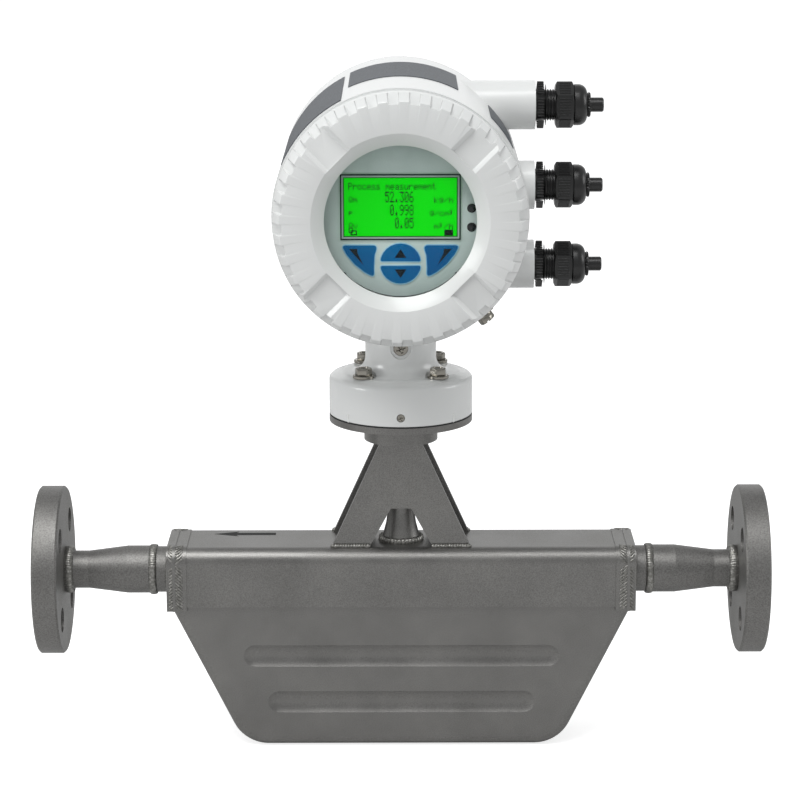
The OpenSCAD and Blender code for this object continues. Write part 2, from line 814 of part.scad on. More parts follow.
module neck_collar() {
    r = disc_d / 2;
    bore = stub_d / 2 + stub_clear;
    neck_r = neck_d / 2;
    top = collar_z + collar_h;
    color(white) placed() difference() {
        rotate_extrude() difference() {
            union() {
                polygon([[passage_d / 2, collar_z], [r, collar_z], [r, top - collar_bevel],
                    [r - collar_bevel, top], [platform_d / 2, top],
                    [platform_d / 2 - platform_h, platform_z], [neck_r, platform_z],
                    [neck_r, neck_top], [bore, neck_top], [bore, stub_bottom - seat_gap],
                    [passage_d / 2, stub_bottom - seat_gap]]);
                translate([neck_r, platform_z]) square(neck_fillet);
            }
            translate([neck_r + neck_fillet, platform_z + neck_fillet]) circle(neck_fillet);
        }
        // Bolt holes and the spot faces milled into the neck's fillet
        at_collar_bolts() {
            translate([0, 0, collar_z - 1])
                cylinder(d = collar_bolt_d + drilled, h = collar_h + platform_h + 2);
            translate([0, 0, platform_z]) cylinder(d = washer_d + 2, h = neck_fillet + 2);
        }
        // Swivel lock screw and its recess
        translate([0, 0, lock_z]) rotate([90, 0, 0]) {
            cylinder(d = lock_screw_d + tapped, h = neck_d);
            translate([0, 0, neck_r - 1.2]) cylinder(d = lock_recess_d, h = 4);
        }
        // Set screw
        translate([0, -set_screw_in, set_screw_z]) rotate([90, 0, 0])
            cylinder(d = set_screw_d + tapped, h = r - set_screw_in + 1);
    }
}

module collar_bolts() {
    color(bright) placed() at_collar_bolts() {
        translate([0, 0, platform_z]) ring(washer_d, collar_bolt_d - eps, washer_t);
        translate([0, 0, platform_z + washer_t]) hexagon(collar_bolt_af, collar_bolt_head_h);
        translate([0, 0, disc_base]) cylinder(d = collar_bolt_d, h = platform_z + washer_t - disc_base + eps);
    }
}

module socket_screw(d, l, socket_af) {
    difference() {
        cylinder(d = d, h = l);
        translate([0, 0, l - min(l / 2, d / 2)]) hexagon(socket_af, l);
    }
}

module collar_set_screw() {
    color(bright) placed() translate([0, -set_screw_in, set_screw_z]) rotate([90, 0, 0])
        socket_screw(set_screw_d, disc_d / 2 - set_screw_in - seat_gap, set_screw_d / 2);
}

// Its tip ends inside the ring groove of the head's stub
module lock_screw() {
    stub_r = stub_d / 2;
    color(bright) placed() translate([0, 0, lock_z]) rotate([90, 0, 0]) {
        translate([0, 0, stub_r - lock_groove_depth + seat_gap])
            cylinder(d = lock_screw_d - 3, h = lock_groove_depth + eps);
        translate([0, 0, stub_r + seat_gap])
            socket_screw(lock_screw_d, neck_d / 2 - stub_r - seat_gap - 0.3, lock_screw_d / 2);
    }
}

module neck_o_ring() {
    color(black) placed() translate([0, 0, ring_z]) torus(stub_d - neck_ring_d, neck_ring_d);
}

// ---- Head ----

module head_housing() {
    body_l = head_front + head_rear;
    rear_wall = partition_y + partition_t;
    rest_z = neck_top + swivel_gap - head_z;
    stub_end = rest_z - swivel_l;
    color(white) at_head() difference() {
        union() {
            translate([0, -head_front, 0]) along_y() cylinder(d = head_d, h = body_l);
            for (i = [-1, 0, 1]) translate([0, gland_y, i * gland_pitch])
                along_x() cylinder(d = gland_boss_d, h = gland_boss_x);
            translate([0, 0, rest_z]) cylinder(d = neck_d, h = -rest_z - front_bore / 2);
            translate([0, 0, stub_end - swivel_gap]) cylinder(d = stub_d, h = swivel_l + 2);
            translate([0, earth_y, 0]) rotate([0, 90 + earth_angle, 0])
                cylinder(d = earth_boss_d, h = head_d / 2 + earth_boss_h);
        }
        translate([0, -head_front - 1, 0])
            along_y() cylinder(d = front_bore, h = head_front + partition_y + 1);
        translate([0, rear_wall, 0]) along_y() cylinder(d = rear_bore, h = head_rear - rear_wall + 1);
        // Cable passage from the neck to the display compartment
        translate([0, 0, stub_end - 2])
            cylinder(d = passage_d, h = 2 - stub_end - front_bore / 2 + passage_d / 4);
        // O-ring groove and lock groove of the stub
        translate([0, 0, ring_z - head_z - neck_ring_d / 2 - groove_side])
            ring(stub_d + 2, stub_d - 2 * neck_ring_d, neck_ring_d + 2 * groove_side);
        translate([0, 0, lock_z - head_z - lock_screw_d / 2 + 1])
            ring(stub_d + 2, stub_d - 2 * lock_groove_depth, lock_screw_d - 2);
        // Threaded cable entries
        for (i = [-1, 0, 1]) translate([entry_from, gland_y, i * gland_pitch])
            along_x() cylinder(d = gland_thread_d, h = gland_boss_x);
    }
}

module display_carrier() {
    color("#b4cbc6") at_head() translate([0, -plate_y, 0]) along_y() difference() {
        cylinder(d = display_d, h = display_t);
        for (a = [45 : 90 : 315]) rotate(a) translate([pillar_circle / 2, 0, -1])
            cylinder(d = pillar_d / 2, h = display_t + 2);
    }
}

module lcd_panel() {
    color("#00d900") at_head() translate([-lcd_w / 2, -plate_y - lcd_proud, lcd_up - lcd_h / 2])
        cube([lcd_w, lcd_proud, lcd_h]);
}

// Two half-round keys between two wedge keys
module key_film() {
    r = key_d / 2;
    color("#0a6cb0") at_head() translate([0, -plate_y, -key_down]) rotate([90, 0, 0])
        linear_extrude(film_t) {
            difference() {
                circle(r);
                translate([-r - 1, -key_gap / 2]) square([2 * r + 2, key_gap]);
            }
            for (s = [0, 1]) mirror([s, 0]) difference() {
                intersection() {
                    translate([0, key_down]) circle(key_reach);
                    translate([-key_reach, wedge_up - wedge_h]) square([key_reach, wedge_h]);
                }
                circle(r + wedge_gap);
            }
        }
}

module board(front_y) {
    color(board_green) at_head() translate([0, -front_y, 0]) along_y() difference() {
        cylinder(d = board_d, h = board_t);
        translate([0, 0, -1]) for (a = [45 : 90 : 315]) rotate(a) translate([pillar_circle / 2, 0, 0])
            cylinder(d = pillar_d / 2, h = board_t + 2);
    }
}

module display_board() board(board_1_y);

module main_board() board(board_2_y);

module board_pillars() {
    color(bright) at_head() for (a = [45 : 90 : 315]) rotate([0, a, 0]) translate([pillar_circle / 2, 0, 0]) {
        translate([0, -plate_y + display_t, 0]) along_y() cylinder(d = pillar_d, h = board_1_gap);
        translate([0, -board_1_y + board_t, 0]) along_y() cylinder(d = pillar_d, h = board_2_gap);
        translate([0, -board_2_y + board_t, 0])
            along_y() cylinder(d = pillar_d, h = partition_y + board_2_y - board_t);
    }
}

module terminal_block() {
    count = 8;
    pitch = terminal_w / count;
    color("#3c4a44") at_head() translate([-terminal_w / 2, partition_y + partition_t, -terminal_h / 2])
        difference() {
            cube([terminal_w, terminal_t, terminal_h]);
            for (i = [0 : count - 1], row = [0.25, 0.75])
                translate([(i + 0.5) * pitch, terminal_t - 4, row * terminal_h])
                    along_y() cylinder(d = 0.6 * pitch, h = 5);
        }
}

// Clamp plate, washer and screw on the earth boss
module earth_terminal() {
    clamp = [10, 11, 1.5];
    screw_d = 5;
    head_af = 8;
    color(bright) at_head() translate([0, earth_y, 0]) rotate([0, 90 + earth_angle, 0])
        translate([0, 0, head_d / 2 + earth_boss_h]) {
            translate([-clamp[0] / 2, -clamp[1] / 2, 0]) cube(clamp);
            translate([0, 0, clamp[2]]) cylinder(d = head_af + 1, h = screw_d / 5);
            translate([0, 0, clamp[2] + screw_d / 5]) hexagon(head_af, 0.7 * screw_d);
        }
}

// ---- Covers, drawn with their outer face up at +Z and the head's face at zero ----

// Radius of a cover's side at a height
function cover_r(z) = cover_d / 2
    - max(0, z - cover_h + cover_taper) / cover_taper * (cover_d - cover_face_d) / 2;

// Trapezoidal wrench slot along +X, open at the rim
module wrench_slot(from) {
    translate([from, 0, cover_h]) rotate([90, 0, 90]) linear_extrude(cover_d)
        polygon([[-slot_w / 2 + slot_flank, -slot_depth], [slot_w / 2 - slot_flank, -slot_depth],
            [slot_w / 2 + slot_flank, slot_depth], [-slot_w / 2 - slot_flank, slot_depth]]);
}

module cover_blank(slot_from) {
    face = cover_face_d / 2;
    pitch = 360 / tooth_count;
    difference() {
        union() {
            rotate_extrude() polygon([[0, 0], [cover_r(0), 0], [cover_r(0), cover_h - cover_taper],
                [face + 1, cover_h - 1], [face, cover_h], [0, cover_h]]);
            translate([0, 0, -skirt_l]) cylinder(d = skirt_d, h = skirt_l + eps);
        }
        // Gaps between the teeth
        for (i = [0 : tooth_count - 1]) rotate(i * pitch) rotate_extrude(angle = pitch / 2)
            polygon([[cover_r(0) - tooth_h, tooth_foot], [cover_r(0) + 1, tooth_foot],
                [cover_r(0) + 1, tooth_head], [cover_r(tooth_head) - tooth_h, tooth_head],
                [cover_r(0) - tooth_h, cover_h - cover_taper]]);
        for (a = [45 : 90 : 315]) rotate(a) wrench_slot(slot_from);
        // Hollow behind the face, and the O-ring groove of the skirt
        translate([0, 0, -skirt_l - 1]) cylinder(d = skirt_d - 2 * skirt_t, h = skirt_l + 1);
        translate([0, 0, -ring_from - cover_ring_d - 2 * groove_side])
            ring(skirt_d + 2, skirt_d - 2 * cover_ring_d, cover_ring_d + 2 * groove_side);
    }
}

module front_cover() {
    hollow = cover_h - bevel_depth - glass_t;
    color(white) at_head() translate([0, -head_front, 0]) rotate([90, 0, 0]) difference() {
        cover_blank(bevel_d / 2 - 2);
        translate([0, 0, cover_h - bevel_depth]) cylinder(d1 = window_d, d2 = bevel_d, h = bevel_depth + eps);
        translate([0, 0, -1]) cylinder(d = window_d, h = cover_h);
        translate([0, 0, hollow - 1]) cylinder(d = glass_d, h = glass_t + 1);
        translate([0, 0, -1]) cylinder(d = skirt_d - 2 * skirt_t, h = hollow + 1);
    }
}

module front_glass() {
    color([0.75, 0.85, 0.85, 0.35]) at_head() translate([0, -glass_y, 0])
        along_y() cylinder(d = glass_d, h = glass_t);
}

module glass_retainer() {
    color("#3a3c3e") at_head() translate([0, -glass_y + glass_t, 0])
        along_y() ring(skirt_d - 2 * skirt_t - 0.2, window_d + 2, retainer_t);
}

module cover_ring() {
    translate([0, 0, -ring_from - groove_side - cover_ring_d / 2])
        torus(skirt_d - cover_ring_d, cover_ring_d);
}

module front_cover_o_ring() {
    color(black) at_head() translate([0, -head_front, 0]) rotate([90, 0, 0]) cover_ring();
}

module rear_cover() {
    hollow = cover_h - 6;
    color(white) at_head() translate([0, head_rear, 0]) rotate([-90, 0, 0]) difference() {
        cover_blank(bevel_d / 2);
        translate([0, 0, cover_h - slot_depth])
            cylinder(d1 = bevel_d - 2, d2 = bevel_d, h = slot_depth + eps);
        translate([0, 0, -1]) cylinder(d = skirt_d - 2 * skirt_t, h = hollow + 1);
    }
}

module rear_cover_o_ring() {
    color(black) at_head() translate([0, head_rear, 0]) rotate([-90, 0, 0]) cover_ring();
}

// ---- Cable glands: level -1, 0 or 1 counts up from the lower boss ----

module at_gland(level) {
    at_head() translate([0, gland_y, level * gland_pitch]) along_x() children();
}

module gland_body(level) {
    thread_l = gland_gap + nut_thread_l;
    color(black) at_gland(level) translate([0, 0, gland_boss_x]) difference() {
        union() {
            translate([0, 0, -gland_inner_l])
                cylinder(d = gland_thread_d - 2 * gland_clear, h = gland_inner_l);
            hexagon(gland_af, gland_hex_h);
            translate([0, 0, gland_hex_h - eps]) cylinder(d = gland_thread_d - 2, h = thread_l + eps);
        }
        translate([0, 0, -gland_inner_l - 1])
            cylinder(d = gland_bore, h = gland_inner_l + gland_hex_h + thread_l + 2);
    }
}

// Sealing ring squeezed between the body's mouth and the dome
module gland_seal(level) {
    from = nut_x + nut_thread_l + seal_gap;
    color(black) at_gland(level) translate([0, 0, from])
        ring(gland_thread_d - 3, plug_d, nut_end - from - dome_wall - seal_gap);
}

module gland_plug(level) {
    inner = nut_x + 2;
    color("#2a2a2a") at_gland(level) {
        translate([0, 0, inner]) cylinder(d = plug_d, h = nut_end - inner + seal_gap + plug_l);
        translate([0, 0, nut_end + seal_gap]) cylinder(d = plug_flange_d, h = plug_flange_t);
    }
}

module gland_nut(level) {
    dome_r = dome_d / 2;
    cavity = gland_thread_d / 2 - 1 + gland_clear;
    color(black) at_gland(level) difference() {
        union() {
            translate([0, 0, nut_x]) hexagon(gland_af - 0.8, nut_hex_l);
            rotate_extrude() {
                translate([0, nut_x + nut_hex_l - eps]) square([dome_r, dome_l - dome_round + eps]);
                translate([0, nut_end - dome_round]) square([dome_r - dome_round, dome_round]);
                translate([dome_r - dome_round, nut_end - dome_round]) difference() {
                    circle(dome_round);
                    translate([-2 * dome_round, -dome_round]) square([2 * dome_round, 2 * dome_round]);
                    translate([-dome_round, -2 * dome_round]) square([2 * dome_round, 2 * dome_round]);
                }
            }
        }
        translate([0, 0, nut_x - 1]) cylinder(r = cavity, h = nut_end - nut_x - dome_wall + 1);
        translate([0, 0, nut_x]) cylinder(d = dome_hole_d, h = nut_end);
    }
}

module top_gland_body() gland_body(1);

module top_gland_seal() gland_seal(1);

module top_gland_plug() gland_plug(1);

module top_gland_nut() gland_nut(1);

module middle_gland_body() gland_body(0);

module middle_gland_seal() gland_seal(0);

module middle_gland_plug() gland_plug(0);

module middle_gland_nut() gland_nut(0);

module lower_gland_body() gland_body(-1);

module lower_gland_seal() gland_seal(-1);

module lower_gland_plug() gland_plug(-1);

module lower_gland_nut() gland_nut(-1);

inlet_flange();
outlet_flange();
inlet_reducer();
outlet_reducer();
inlet_manifold();
outlet_manifold();
inlet_end_cap();
outlet_end_cap();
case_channel();
pan_front();
pan_rear();
front_flow_tube();
rear_flow_tube();
inlet_node_plates();
outlet_node_plates();
drive_coil();
drive_magnet();
inlet_pickoff_coil();
inlet_pickoff_magnet();
outlet_pickoff_coil();
outlet_pickoff_magnet();
tower_front_plate();
tower_rear_plate();
conduit();
mounting_disc();
disc_gasket();
neck_collar();
collar_bolts();
collar_set_screw();
lock_screw();
neck_o_ring();
head_housing();
display_carrier();
lcd_panel();
key_film();
display_board();
main_board();
board_pillars();
terminal_block();
earth_terminal();
front_cover();
front_glass();
glass_retainer();
front_cover_o_ring();
rear_cover();
rear_cover_o_ring();
top_gland_body();
top_gland_seal();
top_gland_plug();
top_gland_nut();
middle_gland_body();
middle_gland_seal();
middle_gland_plug();
middle_gland_nut();
lower_gland_body();
lower_gland_seal();
lower_gland_plug();
lower_gland_nut();
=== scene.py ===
"""The looks of a twin-tube mass flow meter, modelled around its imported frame."""

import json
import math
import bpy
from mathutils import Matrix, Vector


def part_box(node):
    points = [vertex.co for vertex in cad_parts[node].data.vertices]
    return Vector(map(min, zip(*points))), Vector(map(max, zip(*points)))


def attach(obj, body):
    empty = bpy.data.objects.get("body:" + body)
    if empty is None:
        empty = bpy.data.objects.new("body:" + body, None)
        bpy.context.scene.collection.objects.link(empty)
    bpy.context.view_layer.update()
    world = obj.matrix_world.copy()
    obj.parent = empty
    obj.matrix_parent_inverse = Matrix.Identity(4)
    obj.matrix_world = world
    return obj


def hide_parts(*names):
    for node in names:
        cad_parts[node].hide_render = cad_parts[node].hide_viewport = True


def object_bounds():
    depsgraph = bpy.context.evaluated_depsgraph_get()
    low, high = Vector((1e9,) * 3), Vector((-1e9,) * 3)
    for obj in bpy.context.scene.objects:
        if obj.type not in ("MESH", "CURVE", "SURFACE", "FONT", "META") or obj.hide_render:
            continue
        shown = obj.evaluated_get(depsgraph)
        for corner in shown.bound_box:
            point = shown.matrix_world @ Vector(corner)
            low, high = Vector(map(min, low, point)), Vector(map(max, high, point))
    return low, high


bl_info = {
    "name": "Flow Meter Looks",
    "version": (1, 0, 0),
    "blender": (4, 5, 0),
    "location": "View3D > Sidebar > Flow Meter",
    "description": "Finishes, castings, glands, welds and display of a mass flow meter",
    "category": "Add Mesh",
}

import bmesh
import bpy
from mathutils import Vector

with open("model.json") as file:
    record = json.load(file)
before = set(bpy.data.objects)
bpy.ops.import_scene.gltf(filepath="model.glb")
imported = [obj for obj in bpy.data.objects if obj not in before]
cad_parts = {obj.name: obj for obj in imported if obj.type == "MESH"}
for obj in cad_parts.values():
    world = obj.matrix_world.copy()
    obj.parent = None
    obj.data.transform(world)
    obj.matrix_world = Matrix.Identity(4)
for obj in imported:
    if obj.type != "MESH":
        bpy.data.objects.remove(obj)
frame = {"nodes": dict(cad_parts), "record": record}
CAD_BOX = [list(corner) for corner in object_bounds()]

MM = 0.001
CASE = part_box("case_channel")
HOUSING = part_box("head_housing")
FRONT_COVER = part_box("front_cover")
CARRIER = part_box("display_carrier")
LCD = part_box("lcd_panel")
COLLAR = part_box("neck_collar")

# The meter's middle, and the axis, radius and front face of the head
MIDDLE = (CASE[0].x + CASE[1].x) / 2
HEAD_Z = (FRONT_COVER[0].z + FRONT_COVER[1].z) / 2
HEAD_R = HOUSING[1].z - HEAD_Z
AXIS = Vector((MIDDLE, 0, HEAD_Z))
HEAD_FRONT = HOUSING[0].y
HEAD_REAR = HOUSING[1].y
# A quarter turn, which stands what lies flat up to face the front
FACE = math.radians(90)


# ---- Modelling helpers ----

def clear():
    """Leaves edit mode with nothing selected, so that what follows acts on the new piece only."""
    if bpy.context.object and bpy.context.object.mode != "OBJECT":
        bpy.ops.object.mode_set(mode="OBJECT")
    bpy.ops.object.select_all(action="DESELECT")


def only(piece):
    """Selects one piece and nothing else."""
    clear()
    piece.select_set(True)
    bpy.context.view_layer.objects.active = piece
    return piece


def edit(piece, whole=False):
    """Opens one piece in edit mode, with all of it selected if it is wanted whole."""
    only(piece)
    bpy.ops.object.mode_set(mode="EDIT")
    if whole:
        bpy.ops.mesh.select_all(action="SELECT")


def pick(test, kind="FACE"):
    """Selects the faces, edges or vertices in edit mode that pass a test of place and normal."""
    bpy.ops.mesh.select_mode(type="VERT")
    bpy.ops.mesh.select_all(action="DESELECT")
    bpy.ops.mesh.select_mode(type=kind)
    mesh = bmesh.from_edit_mesh(bpy.context.object.data)
    mesh.normal_update()
    if kind == "FACE":
        for face in mesh.faces:
            face.select_set(bool(test(face.calc_center_median(), face.normal)))
    elif kind == "EDGE":
        for edge in mesh.edges:
            edge.select_set(bool(test((edge.verts[0].co + edge.verts[1].co) / 2, edge)))
    else:
        for vert in mesh.verts:
            vert.select_set(bool(test(vert.co, vert.normal)))
    mesh.select_flush_mode()
    bmesh.update_edit_mesh(bpy.context.object.data)


def modify(piece, kind, **settings):
    """Adds a modifier and applies it."""
    only(piece)
    made = piece.modifiers.new(kind.title(), kind)
    for key, value in settings.items():
        setattr(made, key, value)
    bpy.ops.object.modifier_apply(modifier=made.name)
    return piece


def soften(piece, width, angle=30, segments=2):
    """Rounds every edge sharper than an angle, as a casting or a moulding has it."""
    return modify(piece, "BEVEL", width=width * MM, segments=segments, limit_method="ANGLE",
                  angle_limit=math.radians(angle), use_clamp_overlap=True)


def tidy(piece, merge=0.01):
    """Merges doubles and turns the faces outwards."""
    edit(piece, whole=True)
    bpy.ops.mesh.remove_doubles(threshold=merge * MM)
    bpy.ops.mesh.normals_make_consistent(inside=False)
    bpy.ops.object.mode_set(mode="OBJECT")
    return piece


def place(piece, at=(0, 0, 0), turn=(0, 0, 0)):
    """Turns and moves a piece modelled at the origin, with its place kept in its mesh."""
    only(piece)
    piece.rotation_euler = turn
    piece.location = at
    bpy.ops.object.transform_apply(location=True, rotation=True, scale=True)
    return piece


def spot(x, y, z):
    """A point in metres, from millimetres off the meter's middle."""
    return MIDDLE + x * MM, y * MM, z * MM


def turned(rings, segments=96, closed=False):
    """A turned shape: a circle extruded ring by ring, each given by its radius and height in mm."""
    clear()
    radius, height = rings[0]
    bpy.ops.mesh.primitive_circle_add(vertices=segments, radius=radius * MM, location=(0, 0, 0))
    piece = bpy.context.object
    edit(piece, whole=True)
    bpy.ops.transform.translate(value=(0, 0, height * MM))
    for next_radius, next_height in rings[1:]:
        bpy.ops.mesh.extrude_region_move(
            TRANSFORM_OT_translate={"value": (0, 0, (next_height - height) * MM)})
        if next_radius <= 0:
            bpy.ops.mesh.merge(type="CENTER")
        elif abs(next_radius - radius) > 1e-6:
            scale = next_radius / radius
            bpy.ops.transform.resize(value=(scale, scale, 1),
                                     center_override=(0, 0, next_height * MM))
        radius, height = next_radius, next_height
    if closed:
        bpy.ops.mesh.select_all(action="SELECT")
        bpy.ops.mesh.remove_doubles(threshold=0.001 * MM)
    else:
        # A closed end at the first ring, and at the last one if it is open
        bpy.ops.mesh.select_mode(type="EDGE")
        bpy.ops.mesh.select_all(action="DESELECT")
        bpy.ops.mesh.select_non_manifold(extend=False)
        bpy.ops.mesh.fill_holes(sides=0)
    bpy.ops.object.mode_set(mode="OBJECT")
    return tidy(piece)


def block(size, at=(0, 0, 0), turn=(0, 0, 0), round_mm=0.0, segments=2):
    """A block of a size in mm, with rounded edges."""
    clear()
    bpy.ops.mesh.primitive_cube_add(size=1, location=(0, 0, 0))
    piece = bpy.context.object
    piece.scale = [s * MM for s in size]
    bpy.ops.object.transform_apply(location=False, rotation=False, scale=True)
    if round_mm:
        soften(piece, round_mm, segments=segments)
    return place(piece, at, turn)


def outline(points, thick):
    """A flat plate cut to an outline in mm and extruded upwards."""
    clear()
    bpy.ops.mesh.primitive_plane_add(size=1, location=(0, 0, 0))
    piece = bpy.context.object
    bpy.ops.object.mode_set(mode="EDIT")
    mesh = bmesh.from_edit_mesh(piece.data)
    bmesh.ops.delete(mesh, geom=list(mesh.verts), context="VERTS")
    mesh.faces.new([mesh.verts.new((x * MM, y * MM, 0)) for x, y in points])
    bmesh.update_edit_mesh(piece.data)
    bpy.ops.mesh.select_all(action="SELECT")
    bpy.ops.mesh.normals_make_consistent(inside=False)
    bpy.ops.mesh.extrude_region_move(TRANSFORM_OT_translate={"value": (0, 0, thick * MM)})
    bpy.ops.object.mode_set(mode="OBJECT")
    return tidy(piece)


def cut(piece, tool, operation="DIFFERENCE"):
    """Cuts a piece with a tool, or joins them, and removes the tool."""
    modify(piece, "BOOLEAN", object=tool, operation=operation, solver="EXACT")
    bpy.data.objects.remove(tool)
    return piece


def join(pieces):
    """Joins several shapes into one piece."""
    clear()
    for piece in pieces:
        piece.select_set(True)
    bpy.context.view_layer.objects.active = pieces[0]
    bpy.ops.object.join()
    return pieces[0]


def again(piece, at=(0, 0, 0), turn=(0, 0, 0)):
    """A copy of a piece with a mesh of its own, at another place."""
    only(piece)
    bpy.ops.object.duplicate()
    return place(bpy.context.object, at, turn)


def row(piece, count, step):
    """Repeats a piece along X, a step in mm apart."""
    return modify(piece, "ARRAY", count=count, use_relative_offset=False, use_constant_offset=True,
                  constant_offset_displace=(step * MM, 0, 0))


def hand_in(piece, name, body, material, stands_for=(), angle=35):
    """Names a finished piece, shades it, gives it its materials, and ties it to its body."""
    only(piece)
    piece.name = name
    piece.data.name = name
    bpy.ops.object.shade_smooth_by_angle(angle=math.radians(angle))
    which = [face.material_index for face in piece.data.polygons]
    piece.data.materials.clear()
    for one in material if isinstance(material, (list, tuple)) else [material]:
        piece.data.materials.append(one)
    if len(piece.data.materials) > 1:
        piece.data.polygons.foreach_set("material_index", which)
    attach(piece, body)
    if stands_for:
        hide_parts(*stands_for)
    return piece


# ---- Materials ----

def linear(colour):
    """Turns an sRGB hex value into linear red, green, blue and alpha, and keeps a linear colour."""
    if not isinstance(colour, str):
        return list(colour)[:3] + [1.0]
    parts = [int(colour[i:i + 2], 16) / 255 for i in (1, 3, 5)]
    return [c / 12.92 if c <= 0.04045 else ((c + 0.055) / 1.055) ** 2.4 for c in parts] + [1.0]


def put(tree, kind, inputs=(), **settings):
    """Adds a node: settings are its properties, inputs pairs of a socket and a value or a link."""
    node = tree.nodes.new(kind)
    for key, value in settings.items():
        setattr(node, key, value)
    for key, value in inputs:
        if isinstance(value, bpy.types.NodeSocket):
            tree.links.new(value, node.inputs[key])
        else:
            node.inputs[key].default_value = value
    return node


def new_material(name):
    """An empty material with its Principled surface, its output and Object coordinates."""
    material = bpy.data.materials.new(name)
    material.use_nodes = True
    tree = material.node_tree
    tree.nodes.clear()
    shader = put(tree, "ShaderNodeBsdfPrincipled")
    put(tree, "ShaderNodeOutputMaterial", [("Surface", shader.outputs[0])])
    place_on = put(tree, "ShaderNodeTexCoord").outputs["Object"]
    return material, tree, shader, place_on


def ramp(tree, factor, stops):
    """A colour ramp between stops of position and hex colour."""
    node = put(tree, "ShaderNodeValToRGB", [("Fac", factor)])
    elements = node.color_ramp.elements
    while len(elements) < len(stops):
        elements.new(0.5)
    for element, (position, colour) in zip(elements, stops):
        element.position = position
        element.color = linear(colour)
    return node.outputs["Color"]


def blasted_stainless(name, mean, worn, dark, grain_mm=0.55, roughness=0.52, bump=0.35):
    """Stainless steel blasted with glass beads: matt, with fine pits, soft stains and worn places."""
    material, tree, shader, place_on = new_material(name)
    # Beads of 0.2 mm leave pits of about 0.1 mm, drawn coarser so that they show
    pits = put(tree, "ShaderNodeTexNoise", [("Vector", place_on), ("Scale", 1 / (grain_mm * MM)),
                                            ("Detail", 3.0)])
    # Heat and handling leave soft patches a few centimetres wide
    stain = put(tree, "ShaderNodeTexNoise", [("Vector", place_on), ("Scale", 28.0), ("Detail", 4.0),
                                             ("Roughness", 0.6)])
    tone = ramp(tree, stain.outputs["Fac"], [(0.2, dark), (0.5, mean), (0.85, worn)])
    speck = ramp(tree, pits.outputs["Fac"], [(0.3, "#c4c4c2"), (0.62, "#ffffff")])
    mixed = put(tree, "ShaderNodeMixRGB", [("Fac", 0.8), ("Color1", tone), ("Color2", speck)],
                blend_type="MULTIPLY")
    tree.links.new(mixed.outputs[0], shader.inputs["Base Color"])
    shine = put(tree, "ShaderNodeMapRange", [("Value", stain.outputs["Fac"]), ("From Min", 0.3),
                                             ("From Max", 0.7), ("To Min", roughness - 0.06),
                                             ("To Max", roughness + 0.08)])
    tree.links.new(shine.outputs[0], shader.inputs["Roughness"])
    relief = put(tree, "ShaderNodeBump", [("Height", pits.outputs["Fac"]), ("Strength", bump),
                                          ("Distance", 0.12 * MM)])
    tree.links.new(relief.outputs[0], shader.inputs["Normal"])
    shader.inputs["Metallic"].default_value = 0.9
    return material


def bright_metal(name, colour, roughness, wave_mm, metallic=1.0):
    """Bright metal with the fine marks of the tool that turned or drew it."""
    material, tree, shader, place_on = new_material(name)
    lines = put(tree, "ShaderNodeTexNoise", [("Vector", place_on), ("Scale", 1 / (wave_mm * MM)),
                                             ("Detail", 2.0)])
    tone = put(tree, "ShaderNodeMixRGB", [("Fac", lines.outputs["Fac"]), ("Color1", linear(colour)),
                                          ("Color2", linear("#f4f3f0"))], blend_type="MULTIPLY")
    tree.links.new(tone.outputs[0], shader.inputs["Base Color"])
    relief = put(tree, "ShaderNodeBump", [("Height", lines.outputs["Fac"]), ("Strength", 0.15),
                                          ("Distance", 0.05 * MM)])
    tree.links.new(relief.outputs[0], shader.inputs["Normal"])
    shader.inputs["Metallic"].default_value = metallic
    shader.inputs["Roughness"].default_value = roughness
    return material


def powder_coat(name, colour, shade, peel_mm=2.2, roughness=0.34, bump=0.12):
    """Polyester powder coat on cast aluminium: satin, with the orange peel of the melted powder."""
    material, tree, shader, place_on = new_material(name)
    # Orange peel has waves of 1 to 3 mm
    peel = put(tree, "ShaderNodeTexNoise", [("Vector", place_on), ("Scale", 1 / (peel_mm * MM)),
                                            ("Detail", 2.0)])
    drift = put(tree, "ShaderNodeTexNoise", [("Vector", place_on), ("Scale", 9.0), ("Detail", 1.0)])
    tone = put(tree, "ShaderNodeMixRGB", [("Fac", drift.outputs["Fac"]), ("Color1", linear(colour)),
                                          ("Color2", linear(shade))])
    tree.links.new(tone.outputs[0], shader.inputs["Base Color"])
    relief = put(tree, "ShaderNodeBump", [("Height", peel.outputs["Fac"]), ("Strength", bump),
                                          ("Distance", 0.1 * MM)])
    tree.links.new(relief.outputs[0], shader.inputs["Normal"])
    shader.inputs["Roughness"].default_value = roughness
    shader.inputs["Coat Weight"].default_value = 0.25
    shader.inputs["Coat Roughness"].default_value = 0.12
    return material


def moulded(name, colour, roughness, grain_mm, strength=0.2, ior=1.5):
    """Moulded plastic or rubber with a fine grain from its mould."""
    material, tree, shader, place_on = new_material(name)
    grain = put(tree, "ShaderNodeTexNoise", [("Vector", place_on), ("Scale", 1 / (grain_mm * MM)),
                                             ("Detail", 2.0)])
    tone = put(tree, "ShaderNodeMixRGB", [("Fac", grain.outputs["Fac"]), ("Color1", linear(colour)),
                                          ("Color2", linear("#9a9a9a"))], blend_type="MULTIPLY")
    soft = put(tree, "ShaderNodeMixRGB", [("Fac", 0.35), ("Color1", linear(colour)),
                                          ("Color2", tone.outputs[0])])
    tree.links.new(soft.outputs[0], shader.inputs["Base Color"])
    relief = put(tree, "ShaderNodeBump", [("Height", grain.outputs["Fac"]), ("Strength", strength),
                                          ("Distance", 0.06 * MM)])
    tree.links.new(relief.outputs[0], shader.inputs["Normal"])
    shader.inputs["Roughness"].default_value = roughness
    shader.inputs["IOR"].default_value = ior
    return material


